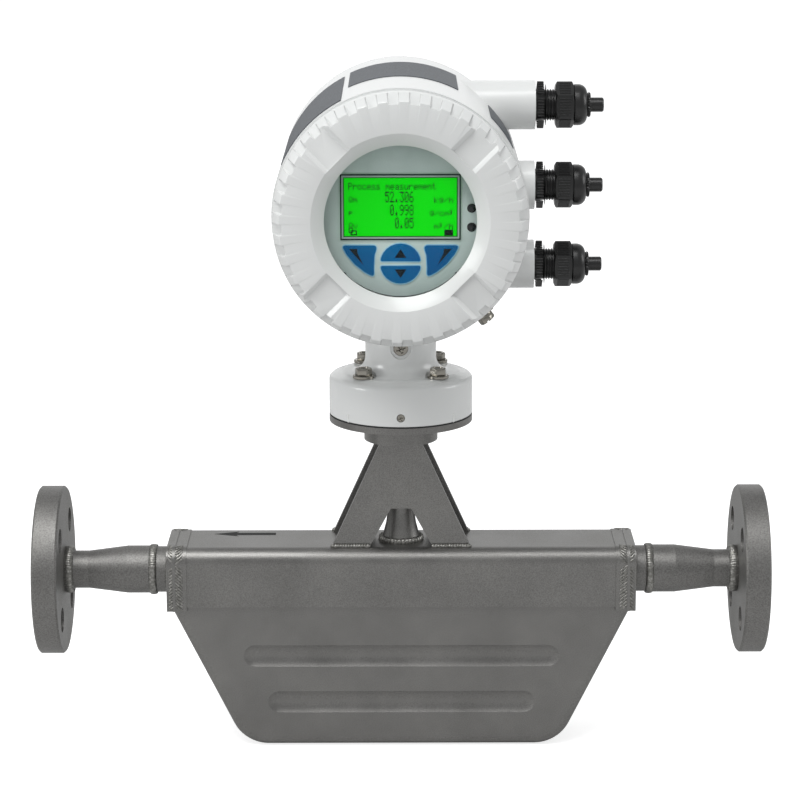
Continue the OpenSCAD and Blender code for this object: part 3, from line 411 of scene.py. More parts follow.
def brushed_plate(name, colour, pale, axis):
    """Anodised aluminium label stock, brushed along one axis."""
    material, tree, shader, place_on = new_material(name)
    # Brush lines are 0.1 to 0.3 mm apart and many centimetres long
    size = [5.0 if i == axis else 26.0 for i in range(3)]
    stretch = put(tree, "ShaderNodeMapping", [("Vector", place_on), ("Scale", size)])
    lines = put(tree, "ShaderNodeTexNoise", [("Vector", stretch.outputs[0]), ("Scale", 40.0),
                                             ("Detail", 5.0), ("Roughness", 0.7)])
    tone = ramp(tree, lines.outputs["Fac"], [(0.35, colour), (0.65, pale)])
    tree.links.new(tone, shader.inputs["Base Color"])
    relief = put(tree, "ShaderNodeBump", [("Height", lines.outputs["Fac"]), ("Strength", 0.2),
                                          ("Distance", 0.04 * MM)])
    tree.links.new(relief.outputs[0], shader.inputs["Normal"])
    shader.inputs["Metallic"].default_value = 0.25
    shader.inputs["Roughness"].default_value = 0.5
    return material


def printed_film(name, colour, edge, roughness=0.3, gloss=0.12):
    """Polyester film printed from behind: an even colour under a satin skin."""
    material, tree, shader, place_on = new_material(name)
    # Ink density drifts a little over centimetres
    drift = put(tree, "ShaderNodeTexNoise", [("Vector", place_on), ("Scale", 40.0), ("Detail", 3.0)])
    tone = ramp(tree, drift.outputs["Fac"], [(0.35, edge), (0.6, colour)])
    tree.links.new(tone, shader.inputs["Base Color"])
    grain = put(tree, "ShaderNodeTexNoise", [("Vector", place_on), ("Scale", 2600.0)])
    relief = put(tree, "ShaderNodeBump", [("Height", grain.outputs["Fac"]), ("Strength", 0.08),
                                          ("Distance", 0.03 * MM)])
    tree.links.new(relief.outputs[0], shader.inputs["Normal"])
    shader.inputs["Roughness"].default_value = roughness
    shader.inputs["Specular IOR Level"].default_value = gloss
    return material


def lit_display(name, colour, glow):
    """A liquid-crystal panel lit from behind, with its dot matrix just visible."""
    material, tree, shader, place_on = new_material(name)
    dots = put(tree, "ShaderNodeTexChecker", [("Vector", place_on), ("Scale", 1 / (0.45 * MM)),
                                              ("Color1", linear(colour)), ("Color2", linear(glow))])
    haze = put(tree, "ShaderNodeTexNoise", [("Vector", place_on), ("Scale", 30.0)])
    tone = put(tree, "ShaderNodeMixRGB", [("Fac", haze.outputs["Fac"]), ("Color1", dots.outputs[0]),
                                          ("Color2", linear(glow))])
    tree.links.new(tone.outputs[0], shader.inputs["Emission Color"])
    shader.inputs["Base Color"].default_value = linear(colour)
    shader.inputs["Emission Strength"].default_value = 0.6
    shader.inputs["Specular IOR Level"].default_value = 0.05
    shader.inputs["Roughness"].default_value = 0.5
    return material


def window_glass(name):
    """Toughened glass, clear and thin to the eye, that keeps its reflection."""
    material, tree, shader, place_on = new_material(name)
    smear = put(tree, "ShaderNodeTexNoise", [("Vector", place_on), ("Scale", 25.0), ("Detail", 3.0)])
    shine = put(tree, "ShaderNodeMapRange", [("Value", smear.outputs["Fac"]), ("To Min", 0.02),
                                             ("To Max", 0.07)])
    tree.links.new(shine.outputs[0], shader.inputs["Roughness"])
    shader.inputs["Base Color"].default_value = linear("#4a5654")
    shader.inputs["Alpha"].default_value = 0.05
    shader.inputs["IOR"].default_value = 1.5
    return material


def weld_metal(name):
    """Welded stainless steel, blasted after welding: scaled ripples with pale crests."""
    material, tree, shader, place_on = new_material(name)
    scale = put(tree, "ShaderNodeTexVoronoi", [("Vector", place_on), ("Scale", 620.0)])
    tone = ramp(tree, scale.outputs["Distance"], [(0.1, "#a5a4a0"), (0.6, "#7c7b77")])
    tree.links.new(tone, shader.inputs["Base Color"])
    relief = put(tree, "ShaderNodeBump", [("Height", scale.outputs["Distance"]), ("Strength", 0.5),
                                          ("Distance", 0.2 * MM)])
    tree.links.new(relief.outputs[0], shader.inputs["Normal"])
    shader.inputs["Metallic"].default_value = 0.95
    shader.inputs["Roughness"].default_value = 0.36
    return material


def wound_wire(name):
    """Copper wire in red-brown enamel, wound in even turns."""
    material, tree, shader, place_on = new_material(name)
    # Wire of 0.4 mm
    turns = put(tree, "ShaderNodeTexWave", [("Vector", place_on), ("Scale", 1 / (2.6 * MM)),
                                            ("Distortion", 0.6)], bands_direction="Y")
    tone = ramp(tree, turns.outputs["Fac"], [(0.2, "#7c3f1a"), (0.8, "#b5713a")])
    tree.links.new(tone, shader.inputs["Base Color"])
    relief = put(tree, "ShaderNodeBump", [("Height", turns.outputs["Fac"]), ("Strength", 0.6),
                                          ("Distance", 0.2 * MM)])
    tree.links.new(relief.outputs[0], shader.inputs["Normal"])
    shader.inputs["Metallic"].default_value = 0.7
    shader.inputs["Roughness"].default_value = 0.3
    return material


def circuit_board(name):
    """Glass-fibre board under green solder mask, with copper tracks showing through."""
    material, tree, shader, place_on = new_material(name)
    tracks = put(tree, "ShaderNodeTexBrick", [("Vector", place_on), ("Scale", 190.0),
                                              ("Color1", linear("#1c6b41")),
                                              ("Color2", linear("#1f7548")),
                                              ("Mortar", linear("#2f8d5a")), ("Mortar Size", 0.03)])
    tree.links.new(tracks.outputs["Color"], shader.inputs["Base Color"])
    shader.inputs["Roughness"].default_value = 0.35
    return material


# ---- Sizes and colours ----

def length(name, description, mm):
    """A length of a piece, given in millimetres."""
    return bpy.props.FloatProperty(name=name, description=description, default=mm * MM, min=0,
                                   unit="LENGTH", subtype="DISTANCE", precision=5)


def shade(name, description, hex_colour):
    """A colour of a material, given as an sRGB hex value."""
    return bpy.props.FloatVectorProperty(name=name, description=description, subtype="COLOR", size=3,
                                         min=0, max=1, default=linear(hex_colour)[:3])


def amount(name, description, value):
    """A power or a strength of the stage."""
    return bpy.props.FloatProperty(name=name, description=description, default=value, min=0)


class MeterSteel(bpy.types.PropertyGroup):
    """Tones of the steel and sizes of its welds"""
    mean: shade("Blasted steel", "Middle tone of the bead-blasted steel", "#858482")
    worn: shade("Worn steel", "Paler tone where it was handled or bent", "#92918e")
    dark: shade("Shaded steel", "Darker tone of its stains", "#797876")
    bead: length("Weld bead", "Radius of a weld bead", 1.6)
    ripple: length("Weld ripple", "Distance between two ripples of a weld", 1.5)


class MeterHead(bpy.types.PropertyGroup):
    """Coat, covers and label plates of the head"""
    coat: shade("Coat", "Colour of the powder coat", "#dfe0df")
    coat_shade: shade("Coat drift", "Second tone of the powder coat", "#d6d8d7")
    tooth: length("Notch depth", "Depth of the notches between a cover's teeth", 1.4)
    edge: length("Cover edge", "Radius of a cover's cast edges", 0.45)
    label: shade("Label", "Colour of the brushed label plates", "#3a3f45")
    label_pale: shade("Label sheen", "Paler brush lines of the label plates", "#4f545a")
    label_thick: length("Label thickness", "Thickness of a label plate", 0.4)


class MeterDisplay(bpy.types.PropertyGroup):
    """Inks of the face plate, the display and the keys"""
    plate: shade("Face plate", "Colour of the printed face plate", "#deefea")
    plate_edge: shade("Face plate edge", "Darker tone of the face plate", "#cfe2dc")
    lit: shade("Lit display", "Colour of the lit display", "#01c000")
    digits: shade("Digits", "Colour of the display's digits", "#011403")
    frame_line: shade("Display frame", "Colour of the line round the display", "#1d2a2f")
    key: shade("Key", "Colour of the keys", "#0670ac")
    key_line: shade("Key outline", "Pale line round each key", "#a6dcf2")
    symbol: shade("Key symbol", "Colour of the key symbols", "#101a22")


class MeterGlands(bpy.types.PropertyGroup):
    """Plastic, ribs and threads of the cable glands"""
    polyamide: shade("Polyamide", "Colour of the gland plastic", "#191919")
    rib: length("Rib", "Depth of the grip ribs on a gland's hexagons", 0.35)
    thread: length("Thread depth", "Depth of a gland's thread", 0.7)


class MeterStage(bpy.types.PropertyGroup):
    """Floor, lamps and lens"""
    floor: shade("Floor", "Colour of the pale floor", "#c9c9c9")
    key_power: amount("Key lamp", "Power of the main lamp in watts", 30.0)
    rear_power: amount("Rear lamp", "Power of the wide rear lamp in watts", 5.0)
    fill_power: amount("Fill lamp", "Power of the fill lamp in watts", 9.0)
    floor_glow: amount("Floor glow", "Extra light of the floor in metal", 0.1)
    sky: amount("Sky", "Strength of the even light from all round", 0.5)
    lens: bpy.props.FloatProperty(name="Lens", description="Focal length in millimetres",
                                  default=123.93, min=20, max=300)


def body_of_node(node):
    """The body that holds a CAD node."""
    for body, nodes in frame["record"]["behaviour"]["bodies"].items():
        if node in nodes:
            return body
    raise RuntimeError(f"no body holds {node}")


def finish_nodes(names, material):
    """Gives CAD nodes a material; their meshes stay as they are."""
    for name in names:
        if name not in frame["nodes"]:
            raise RuntimeError(f"the frame has no node {name}")
        mesh_object = frame["nodes"][name]
        if not mesh_object.material_slots:
            mesh_object.data.materials.append(material)
        for material_slot in mesh_object.material_slots:
            material_slot.material = material


class MeterOperator(bpy.types.Operator):
    """What all the steps share"""
    bl_options = {"REGISTER", "UNDO"}

    @classmethod
    def poll(cls, context):
        return context.scene is not None


# ---- Stage ----

class METER_OT_stage(MeterOperator):
    """Sets up the floor, the soft studio light and the camera"""
    bl_idname = "meter.stage"
    bl_label = "Stage"

    def execute(self, context):
        looks = context.scene.meter_stage
        context.scene.view_settings.view_transform = "Standard"
        clear()
        bpy.ops.mesh.primitive_plane_add(size=1, location=(0, 0, 0))
        floor = context.object
        floor.name = "studio_floor"
        # 30 m square, just under the meter
        edit(floor, whole=True)
        bpy.ops.transform.resize(value=(30, 30, 1))
        bpy.ops.transform.translate(value=(MIDDLE, 6, CAD_BOX[0][2] - 0.0004))
        bpy.ops.object.mode_set(mode="OBJECT")
        floor.data.materials.append(self.floor_material(looks))

        world = bpy.data.worlds.new("studio")
        context.scene.world = world
        world.use_nodes = True
        sky = world.node_tree.nodes["Background"]
        sky.inputs["Color"].default_value = linear("#fbfcfd")
        sky.inputs["Strength"].default_value = looks.sky

        # Each lamp's power, size and place in metres
        self.lamp("key_light", looks.key_power, 1.2, (-0.4, -0.9, 2.0))
        self.lamp("left_light", looks.fill_power, 0.7, (-1.7, -0.6, 0.7))
        self.lamp("right_light", looks.fill_power * 0.9, 0.9, (1.9, 0.1, 0.7))
        self.lamp("rear_light", looks.rear_power, 1.7, (0, 2.2, 0.75))

        lens = bpy.data.cameras.new("camera")
        lens.lens = looks.lens
        lens.sensor_width = 36
        lens.clip_start = 0.05
        camera = bpy.data.objects.new("camera", lens)
        context.collection.objects.link(camera)
        camera.location = (MIDDLE, -1.504, 0.4457)
        camera.rotation_euler = [math.radians(a) for a in (76.993, 0.12, -0.01)]
        context.scene.camera = camera
        return {"FINISHED"}

    def lamp(self, name, power, size, offset):
        """A square lamp turned to the meter's middle, from an offset in metres."""
        middle = Vector((MIDDLE, 0, 0.1))
        data = bpy.data.lights.new(name, "AREA")
        data.energy = power
        data.size = size
        lamp = bpy.data.objects.new(name, data)
        bpy.context.collection.objects.link(lamp)
        lamp.location = middle + Vector(offset)
        lamp.rotation_euler = (middle - lamp.location).to_track_quat("-Z", "Y").to_euler()

    def floor_material(self, looks):
        """Matt white paper: it shows white to the camera and in reflections, and keeps the shadow."""
        material, tree, shader, place_on = new_material("matt_studio_paper")
        fibre = put(tree, "ShaderNodeTexNoise", [("Vector", place_on), ("Scale", 60.0)])
        tone = put(tree, "ShaderNodeMixRGB", [("Fac", fibre.outputs["Fac"]),
                                              ("Color1", linear(looks.floor)),
                                              ("Color2", linear("#d2d2d2"))])
        tree.links.new(tone.outputs[0], shader.inputs["Base Color"])
        shader.inputs["Roughness"].default_value = 0.9
        shader.inputs["Specular IOR Level"].default_value = 0.1
        path = put(tree, "ShaderNodeLightPath")
        clear_sight = put(tree, "ShaderNodeMath", [(0, path.outputs["Is Camera Ray"]),
                                                   (1, path.outputs["Is Transmission Ray"])],
                          operation="ADD")
        seen = put(tree, "ShaderNodeMath", [(0, clear_sight.outputs[0]), (1, 0.75)],
                   operation="MULTIPLY")
        mirrored = put(tree, "ShaderNodeMath", [(0, path.outputs["Is Glossy Ray"]),
                                                (1, looks.floor_glow)], operation="MULTIPLY")
        total = put(tree, "ShaderNodeMath", [(0, seen.outputs[0]), (1, mirrored.outputs[0])],
                    operation="ADD")
        glow = put(tree, "ShaderNodeEmission", [("Color", linear("#ffffff")),
                                                ("Strength", total.outputs[0])])
        both = put(tree, "ShaderNodeAddShader", [(0, glow.outputs[0]), (1, shader.outputs[0])])
        out = next(node for node in tree.nodes if node.type == "OUTPUT_MATERIAL")
        tree.links.new(both.outputs[0], out.inputs["Surface"])
        return material


# ---- Finishes of the CAD nodes ----

FINISH = {}


class METER_OT_steel(MeterOperator):
    """Finishes the case, flanges, pipes, tower and disc in blasted stainless steel"""
    bl_idname = "meter.steel"
    bl_label = "Blasted Steel"

    def execute(self, context):
        looks = context.scene.meter_steel
        # Cast and machined flanges take the blast more evenly than drawn sheet
        tones = looks.mean, looks.worn, looks.dark
        flange = blasted_stainless("bead_blasted_stainless_forging", *tones, 0.8, 0.5, 0.45)
        sheet = blasted_stainless("bead_blasted_stainless_sheet", *tones, 0.4, 0.4, 0.22)
        finish_nodes(["inlet_flange", "outlet_flange", "inlet_reducer", "outlet_reducer",
                      "inlet_manifold", "outlet_manifold"], flange)
        finish_nodes(["case_channel", "inlet_end_cap", "outlet_end_cap", "pan_front", "pan_rear",
                      "tower_front_plate", "tower_rear_plate", "conduit", "mounting_disc"], sheet)
        FINISH["weld"] = weld_metal("blasted_stainless_weld")
        FINISH["sheet"] = sheet
        return {"FINISHED"}


class METER_OT_inside(MeterOperator):
    """Finishes the flow tubes, coils, boards, seals and terminal block inside"""
    bl_idname = "meter.inside"
    bl_label = "Inner Parts"

    def execute(self, context):
        tube = bright_metal("drawn_stainless_tube", "#b9b8b4", 0.24, 0.5)
        screw = bright_metal("turned_stainless_steel", "#94918a", 0.16, 0.35)
        FINISH["screw"] = screw
        finish_nodes(["front_flow_tube", "rear_flow_tube", "inlet_node_plates", "outlet_node_plates"],
                     tube)
        finish_nodes(["board_pillars", "collar_set_screw", "lock_screw"], screw)
        finish_nodes(["drive_coil", "inlet_pickoff_coil", "outlet_pickoff_coil"],
                     wound_wire("enamelled_copper_winding"))
        finish_nodes(["drive_magnet", "inlet_pickoff_magnet", "outlet_pickoff_magnet"],
                     bright_metal("nickel_plated_magnet_iron", "#85827c", 0.3, 0.8))
        rubber = moulded("moulded_nitrile_rubber", "#1b1b1c", 0.62, 0.4, 0.3)
        finish_nodes(["disc_gasket", "neck_o_ring", "front_cover_o_ring", "rear_cover_o_ring",
                      "top_gland_seal", "middle_gland_seal", "lower_gland_seal"], rubber)
        finish_nodes(["display_board", "main_board"],
                     circuit_board("solder_masked_glass_fibre_board"))
        finish_nodes(["terminal_block"],
                     moulded("moulded_polybutylene_terminals", "#3c4a44", 0.5, 0.5))
        finish_nodes(["glass_retainer"],
                     bright_metal("black_anodised_aluminium", "#3a3c3e", 0.45, 0.6, 0.6))
        finish_nodes(["front_glass"], window_glass("toughened_soda_lime_glass"))
        return {"FINISHED"}


class METER_OT_coat(MeterOperator):
    """Finishes the housing and the neck in powder coat"""
    bl_idname = "meter.coat"
    bl_label = "Powder Coat"

    def execute(self, context):
        looks = context.scene.meter_head
        FINISH["coat"] = powder_coat("polyester_powder_coat_satin", looks.coat, looks.coat_shade)
        FINISH["gloss"] = powder_coat("polyester_powder_coat_gloss", looks.coat, looks.coat_shade,
                                      2.6, 0.22, 0.08)
        finish_nodes(["head_housing"], FINISH["coat"])
        finish_nodes(["neck_collar"], FINISH["gloss"])
        self.neck()
        return {"FINISHED"}

    def neck(self):
        """The neck casting, its edges and foot rounded as the mould leaves them."""
        # Radii of the rim, the bolts' circle and the tube, the round at the tube's foot, and the
        # height of the flat that the bolts stand on
        rim, circle, tube, fillet, flat = 40, 29, 19.8, 8, 23.6
        foot = [(tube + fillet * (1 - math.sin(math.radians(a))),
                 flat + fillet - fillet * math.cos(math.radians(a))) for a in range(0, 91, 9)]
        neck = turned([(10, 0), (39.7, 0), (rim, 0.3), (rim, 19.2), (39.8, 20.1), (39.3, 20.8),
                       (38.5, 21.4), (37.4, 21.8), (36, 22.1), (34.7, 22.6), (33.4, 23.2), (32, 23.5),
                       (30.5, flat)]
                      + foot + [(tube, 45.4), (19.4, 46), (16.1, 46), (16.1, 19.5), (10, 19.5),
                                (10, 0)], 128, closed=True)
        # Spot faces and holes of the four bolts, then the seats of the lock screw and the set screw
        for quarter in range(4):
            angle = math.radians(45 + 90 * quarter)
            bore = turned([(3.3, -1), (3.3, flat), (6.7, flat), (7, 23.9), (7, 34)], 48)
            cut(neck, place(bore, (circle * MM * math.cos(angle), circle * MM * math.sin(angle), 0)))
        seat = turned([(4.05, -20), (4.05, -1.2), (5.4, -1.2), (5.8, -0.8), (6.1, 1)], 48)
        cut(neck, place(seat, (0, -tube * MM, 39.5 * MM), (FACE, 0, 0)))
        hole = turned([(2.25, -8), (2.25, -0.3), (2.8, 0.4)], 32)
        cut(neck, place(hole, (0, -rim * MM, 5 * MM), (FACE, 0, 0)))
        place(tidy(neck), (MIDDLE, 0, COLLAR[0].z))
        hand_in(neck, "neck_casting", body_of_node("neck_collar"), FINISH["gloss"],
                ["neck_collar"])


# ---- Covers ----

def cover_casting(inner, looks):
    """A screwed cover: turned outside and inside, notched round its taper, with four wrench slots.

    Modelled face up, the head's face at zero height."""
    # Radii of the rim, the face, the thread, the ring's groove in it and the bore
    rim, face, skirt, groove, bore = 68.2, 64.1, 60.92, 59.1, 56.9
    # Heights of the face, of the taper below it, and of the rim off the face of the head
    high, taper, seat = 21, 9, 0.05
    outer = [(bore, -12), (skirt, -12), (skirt, -5), (groove, -4.9), (groove, -2.8), (skirt, -2.7),
             (skirt, seat), (rim, seat), (rim, high - taper - 0.7), (rim - 0.2, high - taper),
             (face + 0.9, high - 0.9), (face, high)]
    casting = turned(outer + inner, segments=720, closed=True)
    notch = looks.tooth / MM
    # In degrees: a tooth and its gap, and the gap in them
    pitch, gap_from, gap_to = 10, 0.75, 5.75

    def in_notch(co):
        angle = math.degrees(math.atan2(co.y, co.x)) % pitch
        return math.hypot(co.x, co.y) > (face - 0.5) * MM and gap_from < angle < gap_to

    # The gaps between the teeth are deepest at the face and run out at the rim
    edit(casting)
    for level, radius, drop in ((high, face - notch, 0), (high - 0.9, face - notch + 0.3, -1.6)):
        pick(lambda co, normal: abs(co.z - level * MM) < 0.1 * MM and in_notch(co), "VERT")
        scale = radius / (face + high - level)
        bpy.ops.transform.resize(value=(scale, scale, 1), center_override=(0, 0, 0))
        bpy.ops.transform.translate(value=(0, 0, drop * MM))
    bpy.ops.object.mode_set(mode="OBJECT")
    for quarter in range(4):
        # A slot runs out from this radius, and its flanks slope 45 degrees
        slot_from = 46.5
        wedge = outline([(-6.9, -2.3), (6.9, -2.3), (11.2, 2.0), (-11.2, 2.0)], 40)
        place(wedge, turn=(FACE, 0, FACE))
        place(wedge, at=(slot_from * MM, 0, high * MM))
        place(wedge, turn=(0, 0, math.radians(45 + 90 * quarter)))
        cut(casting, wedge)
    return tidy(soften(casting, looks.edge / MM, angle=28))


class METER_OT_covers(MeterOperator):
    """Casts the two notched screw covers"""
    bl_idname = "meter.covers"
    bl_label = "Covers"

    def execute(self, context):
        looks = context.scene.meter_head
        window = [(47.5, 21), (40.5, 16), (40.5, 15.9), (46, 15.9), (46, 10), (56.9, 10)]
        front = cover_casting(window, looks)
        place(front, (MIDDLE, HEAD_FRONT, HEAD_Z), (FACE, 0, 0))
        hand_in(front, "front_cover_casting", "front_cover", FINISH["coat"],
                ["front_cover"])
        rear = rear_casting(looks)
        place(rear, (MIDDLE, HEAD_REAR, HEAD_Z), (-FACE, 0, 0))
        hand_in(rear, "rear_cover_casting", "rear_cover", FINISH["coat"], ["rear_cover"])
        return {"FINISHED"}


def rear_casting(looks):
    """The blind cover, closed by a dished face."""
    inner = [(47.5, 21), (46.5, 18.4), (3, 18.2), (3, 15), (56.9, 15)]
    casting = cover_casting(inner, looks)
    # The small middle left by turning is closed at the face and inside
    clear()
    bpy.ops.mesh.primitive_cylinder_add(vertices=48, radius=3.2 * MM, depth=3.0 * MM,
                                        location=(0, 0, 16.6 * MM))
    return cut(casting, bpy.context.object, "UNION")


# ---- Label plates ----

def curved_plate(y_from, y_to, angle_from, angle_to, thick):
    """A thin plate bent round the head, a strip spun about its axis. Angles run from the top."""
    clear()
    bpy.ops.mesh.primitive_plane_add(size=1, location=(0, 0, 0), rotation=(0, FACE, 0))
    piece = bpy.context.object
    bpy.ops.object.transform_apply(location=True, rotation=True, scale=True)
    edit(piece, whole=True)
    bpy.ops.transform.resize(value=(1, (y_to - y_from) * MM, thick))
    bpy.ops.transform.translate(value=(0, (y_from + y_to) / 2 * MM, HEAD_R + thick / 2))
    bpy.ops.mesh.spin(steps=max(6, int(abs(angle_to - angle_from))), dupli=False,
                      angle=-math.radians(angle_to - angle_from), center=(0, 0, 0), axis=(0, 1, 0))
    bpy.ops.object.mode_set(mode="OBJECT")
    if max(vertex.co.x for vertex in piece.data.vertices) < 0.5 * MM:
        raise RuntimeError("a label was spun the wrong way")
    place(tidy(piece), turn=(0, math.radians(angle_from), 0))
    # Corners cut to a small radius, and the stamped edge rounded
    edit(piece)
    pick(lambda co, edge: abs((edge.verts[0].co - edge.verts[1].co).length - thick) < 0.05 * MM
         and edge.calc_face_angle(0) > 1.2, "EDGE")
    bpy.ops.mesh.bevel(offset=0.6 * MM, segments=3, affect="EDGES")
    bpy.ops.object.mode_set(mode="OBJECT")
    place(piece, AXIS)
    return soften(piece, 0.1, angle=50, segments=1)


class METER_OT_labels(MeterOperator):
    """Bends the three bare label plates round the head"""
    bl_idname = "meter.labels"
    bl_label = "Label Plates"

    def execute(self, context):
        looks = context.scene.meter_head
        plate = brushed_plate("anodised_brushed_aluminium", looks.label, looks.label_pale, 1)
        for name, y_from, y_to, angle_from, angle_to in (
                ("top_label_plate", 5, 77, -24.4, 27.5), ("left_label_plate", -43, 71, -67, -27.2),
                ("right_label_plate", -12, 44, 45.6, 63)):
            made = curved_plate(y_from, y_to, angle_from, angle_to, looks.label_thick)
            hand_in(made, name, "head", plate)
        return {"FINISHED"}


# ---- Display ----

# Rows of a five by seven dot matrix, one number of five bits for each row
DOTS = {
    "0": "14 17 19 21 25 17 14", "2": "14 17 1 2 4 8 31", "3": "31 2 4 2 1 17 14",
    "5": "31 16 30 1 1 17 14", "6": "6 8 16 30 17 17 14", "8": "14 17 17 14 17 17 14",
    "9": "14 17 17 15 1 2 12", ".": "0 0 0 0 0 12 12", "/": "0 1 2 4 8 16 0",
    "k": "16 16 18 20 24 20 18", "g": "0 15 17 17 15 1 14", "h": "16 16 22 25 17 17 17",
    "c": "0 0 14 16 16 17 14", "m": "0 0 26 21 21 17 17", "Q": "14 17 17 17 21 18 13",
    "v": "0 0 17 17 17 10 4", "p": "0 0 30 17 30 16 16", "P": "30 17 17 30 16 16 16",
    "r": "0 0 22 25 16 16 16", "o": "0 0 14 17 17 17 14", "e": "0 0 14 17 31 16 14",
    "s": "0 0 14 16 14 1 30", "a": "0 0 14 1 15 17 15", "u": "0 0 17 17 17 19 13",
    "n": "0 0 22 25 17 17 17", "t": "8 8 28 8 8 9 6", "raised 3": "28 4 12 4 28 0 0",
}


def dot_row(words, left, base, wide, high):
    """Adds a row of characters to the piece in edit mode, dot by dot, from its lower left corner."""
    step = wide / 5
    rise = high / 7
    # A dot fills nearly all of its cell
    fill = 0.99
    for place_in_row, character in enumerate(words):
        if character == " ":
            continue
        for row, bits in enumerate(int(number) for number in DOTS[character].split()):
            for column in range(5):
                if bits >> (4 - column) & 1:
                    bpy.ops.mesh.primitive_plane_add(size=1, location=(0, 0, 0))
                    bpy.ops.transform.resize(value=(fill * step * MM, fill * rise * MM, 1))
                    bpy.ops.transform.translate(value=(
                        (left + (place_in_row * 6 + column + 0.5) * step) * MM,
                        (base + (6.5 - row) * rise) * MM, 0))


def flat_piece(thick, draw):
    """A thin flat piece: its shapes are drawn in edit mode and extruded together."""
    clear()
    bpy.ops.mesh.primitive_plane_add(size=1, location=(0, 0, 0))
    piece = bpy.context.object
    edit(piece, whole=True)
    bpy.ops.mesh.delete(type="VERT")
    draw()
    bpy.ops.mesh.select_all(action="SELECT")
    bpy.ops.mesh.extrude_region_move(TRANSFORM_OT_translate={"value": (0, 0, thick * MM)})
    bpy.ops.mesh.select_all(action="SELECT")
    bpy.ops.mesh.normals_make_consistent(inside=False)
    bpy.ops.object.mode_set(mode="OBJECT")
    return piece


def frame_ring(wide, high, line, thick, corner=1.0):
    """A rectangular line: a plate whose face is inset and whose middle is taken out."""
    ring = block((wide, high, thick))
    edit(ring)
    pick(lambda co, edge: abs(edge.verts[0].co.z - edge.verts[1].co.z) > 0.5 * thick * MM, "EDGE")
    bpy.ops.mesh.bevel(offset=corner * MM, segments=4, affect="EDGES")
    bpy.ops.object.mode_set(mode="OBJECT")
    cut(ring, block((wide - 2 * line, high - 2 * line, 3 * thick)))
    return ring


class METER_OT_display(MeterOperator):
    """Draws the face plate's display: its frame line, digits, units and sensor windows"""
    bl_idname = "meter.display"
    bl_label = "Display"

    def execute(self, context):
        looks = context.scene.meter_display
        front = CARRIER[0].y / MM
        lcd_front = LCD[0].y / MM
        lcd_up = ((LCD[0].z + LCD[1].z) / 2 - HEAD_Z) / MM
        finish_nodes(["display_carrier"],
                     printed_film("printed_polyester_face", looks.plate, looks.plate_edge, 0.45))
        finish_nodes(["lcd_panel"], lit_display("lit_liquid_crystal_panel", looks.lit, "#02d803"))
        ink = printed_film("black_screen_ink", looks.digits, "#021a04", 0.4)
        line = printed_film("dark_green_screen_ink", looks.frame_line, "#1d322c", 0.35)

        def at_display(piece, x, up, proud):
            """Stands a piece before the panel, in mm from its middle and its face."""
            at = (MIDDLE + x * MM, (lcd_front - proud) * MM, HEAD_Z + (lcd_up + up) * MM)
            return place(piece, at, (FACE, 0, 0))

        bezel = at_display(frame_ring(63.4, 34.6, 1.2, 0.24), 0, -0.1, 0.12)
        hand_in(bezel, "display_bezel", "head",
                printed_film("pale_grey_green_ink", "#b4c6bf", "#a9bcb4"))
        ring = at_display(frame_ring(64.2, 35.4, 0.75, 0.3, 0.4), 0, -0.1, 0.15)
        hand_in(ring, "display_frame_line", "head", line)
        # The thin dark-green ring just inside the pale line is painted shade: a darker green that
        # stands for the shadow the window's edge casts on the lit display.
        mask = at_display(frame_ring(61.2, 32.4, 0.7, 0.06, 0.2), 0, -0.1, 0.04)
        deep = printed_film("painted_shade_green_ink", "#0f7a14", "#0c6a10")
        hand_in(mask, "display_painted_edge_shade", "head", deep)

        def rows():
            """The line of words, then a line each for mass flow, density and volume flow."""
            dot_row("Process measurement", -27.7, 9.2, 2.07, 3.8)
            for row, (sign, value, unit, left) in enumerate((
                    ("Qm", "52.306", "kg/h", 17.9),
                    ("p", " 0.998", ["g", "/", "c", "m", "raised 3"], 15.5),
                    ("Qv", "  0.05", ["m", "raised 3", "/", "h"], 17.9))):
                base = 2.4 - 7.0 * row
                dot_row(sign, -27.5, base, 2.07, 3.2)
                dot_row(value, -8.2, base, 2.17, 5.8)
                dot_row(unit, left, base - 0.4, 2.2, 3.2)
        digits = at_display(flat_piece(0.03, rows), 0, 0, 0.01)
        hand_in(digits, "display_digits", "head", ink)

        icons = join([at_display(block((4.7, 3.2, 0.04), round_mm=0.01), 25.7, -13.9, 0.03),
                      at_display(block((1.5, 0.9, 0.04)), 26.2, -13.7, 0.06),
                      at_display(frame_ring(3.4, 2.7, 0.6, 0.04, 0.3), -24.9, -13.9, 0.03),
                      at_display(frame_ring(2.4, 3.0, 0.5, 0.04, 0.6), -26.4, -12.6, 0.03)])
        hand_in(icons, "display_icons", "head", ink)

        dark = moulded("smoked_polycarbonate_window", "#15191b", 0.12, 0.6, 0.05)
        eyes = []
        for up in (5.4, -4.8):
            eye = turned([(2.45, 0), (2.45, 0.25), (2.2, 0.4), (1.1, 0.5), (0, 0.55)], segments=48)
            eyes.append(place(eye, (MIDDLE + 37.9 * MM, front * MM, HEAD_Z + up * MM), (FACE, 0, 0)))
        hand_in(join(eyes), "touch_sensor_windows", "head", dark)
        return {"FINISHED"}


# ---- Keys ----

def key_plate(points, corner, materials, thick=0.4, line=0.5):
    """One key: its outline extruded, its corners rounded, its face inset for the pale line."""
    key = outline(points, thick)
    for material in materials:
        key.data.materials.append(material)
    edit(key)
    pick(lambda co, edge: abs(edge.verts[0].co.z - edge.verts[1].co.z) > 0.5 * thick * MM
         and edge.calc_face_angle(0) > 0.6, "EDGE")
    bpy.ops.mesh.bevel(offset=corner * MM, segments=6, affect="EDGES")
    pick(lambda co, normal: normal.z > 0.9)
    bpy.ops.mesh.inset(thickness=line * MM, depth=0)
    mesh = bmesh.from_edit_mesh(key.data)
    for face in mesh.faces:
        face.material_index = 1 if face.select else 0
    bmesh.update_edit_mesh(key.data)
    bpy.ops.object.mode_set(mode="OBJECT")
    return key


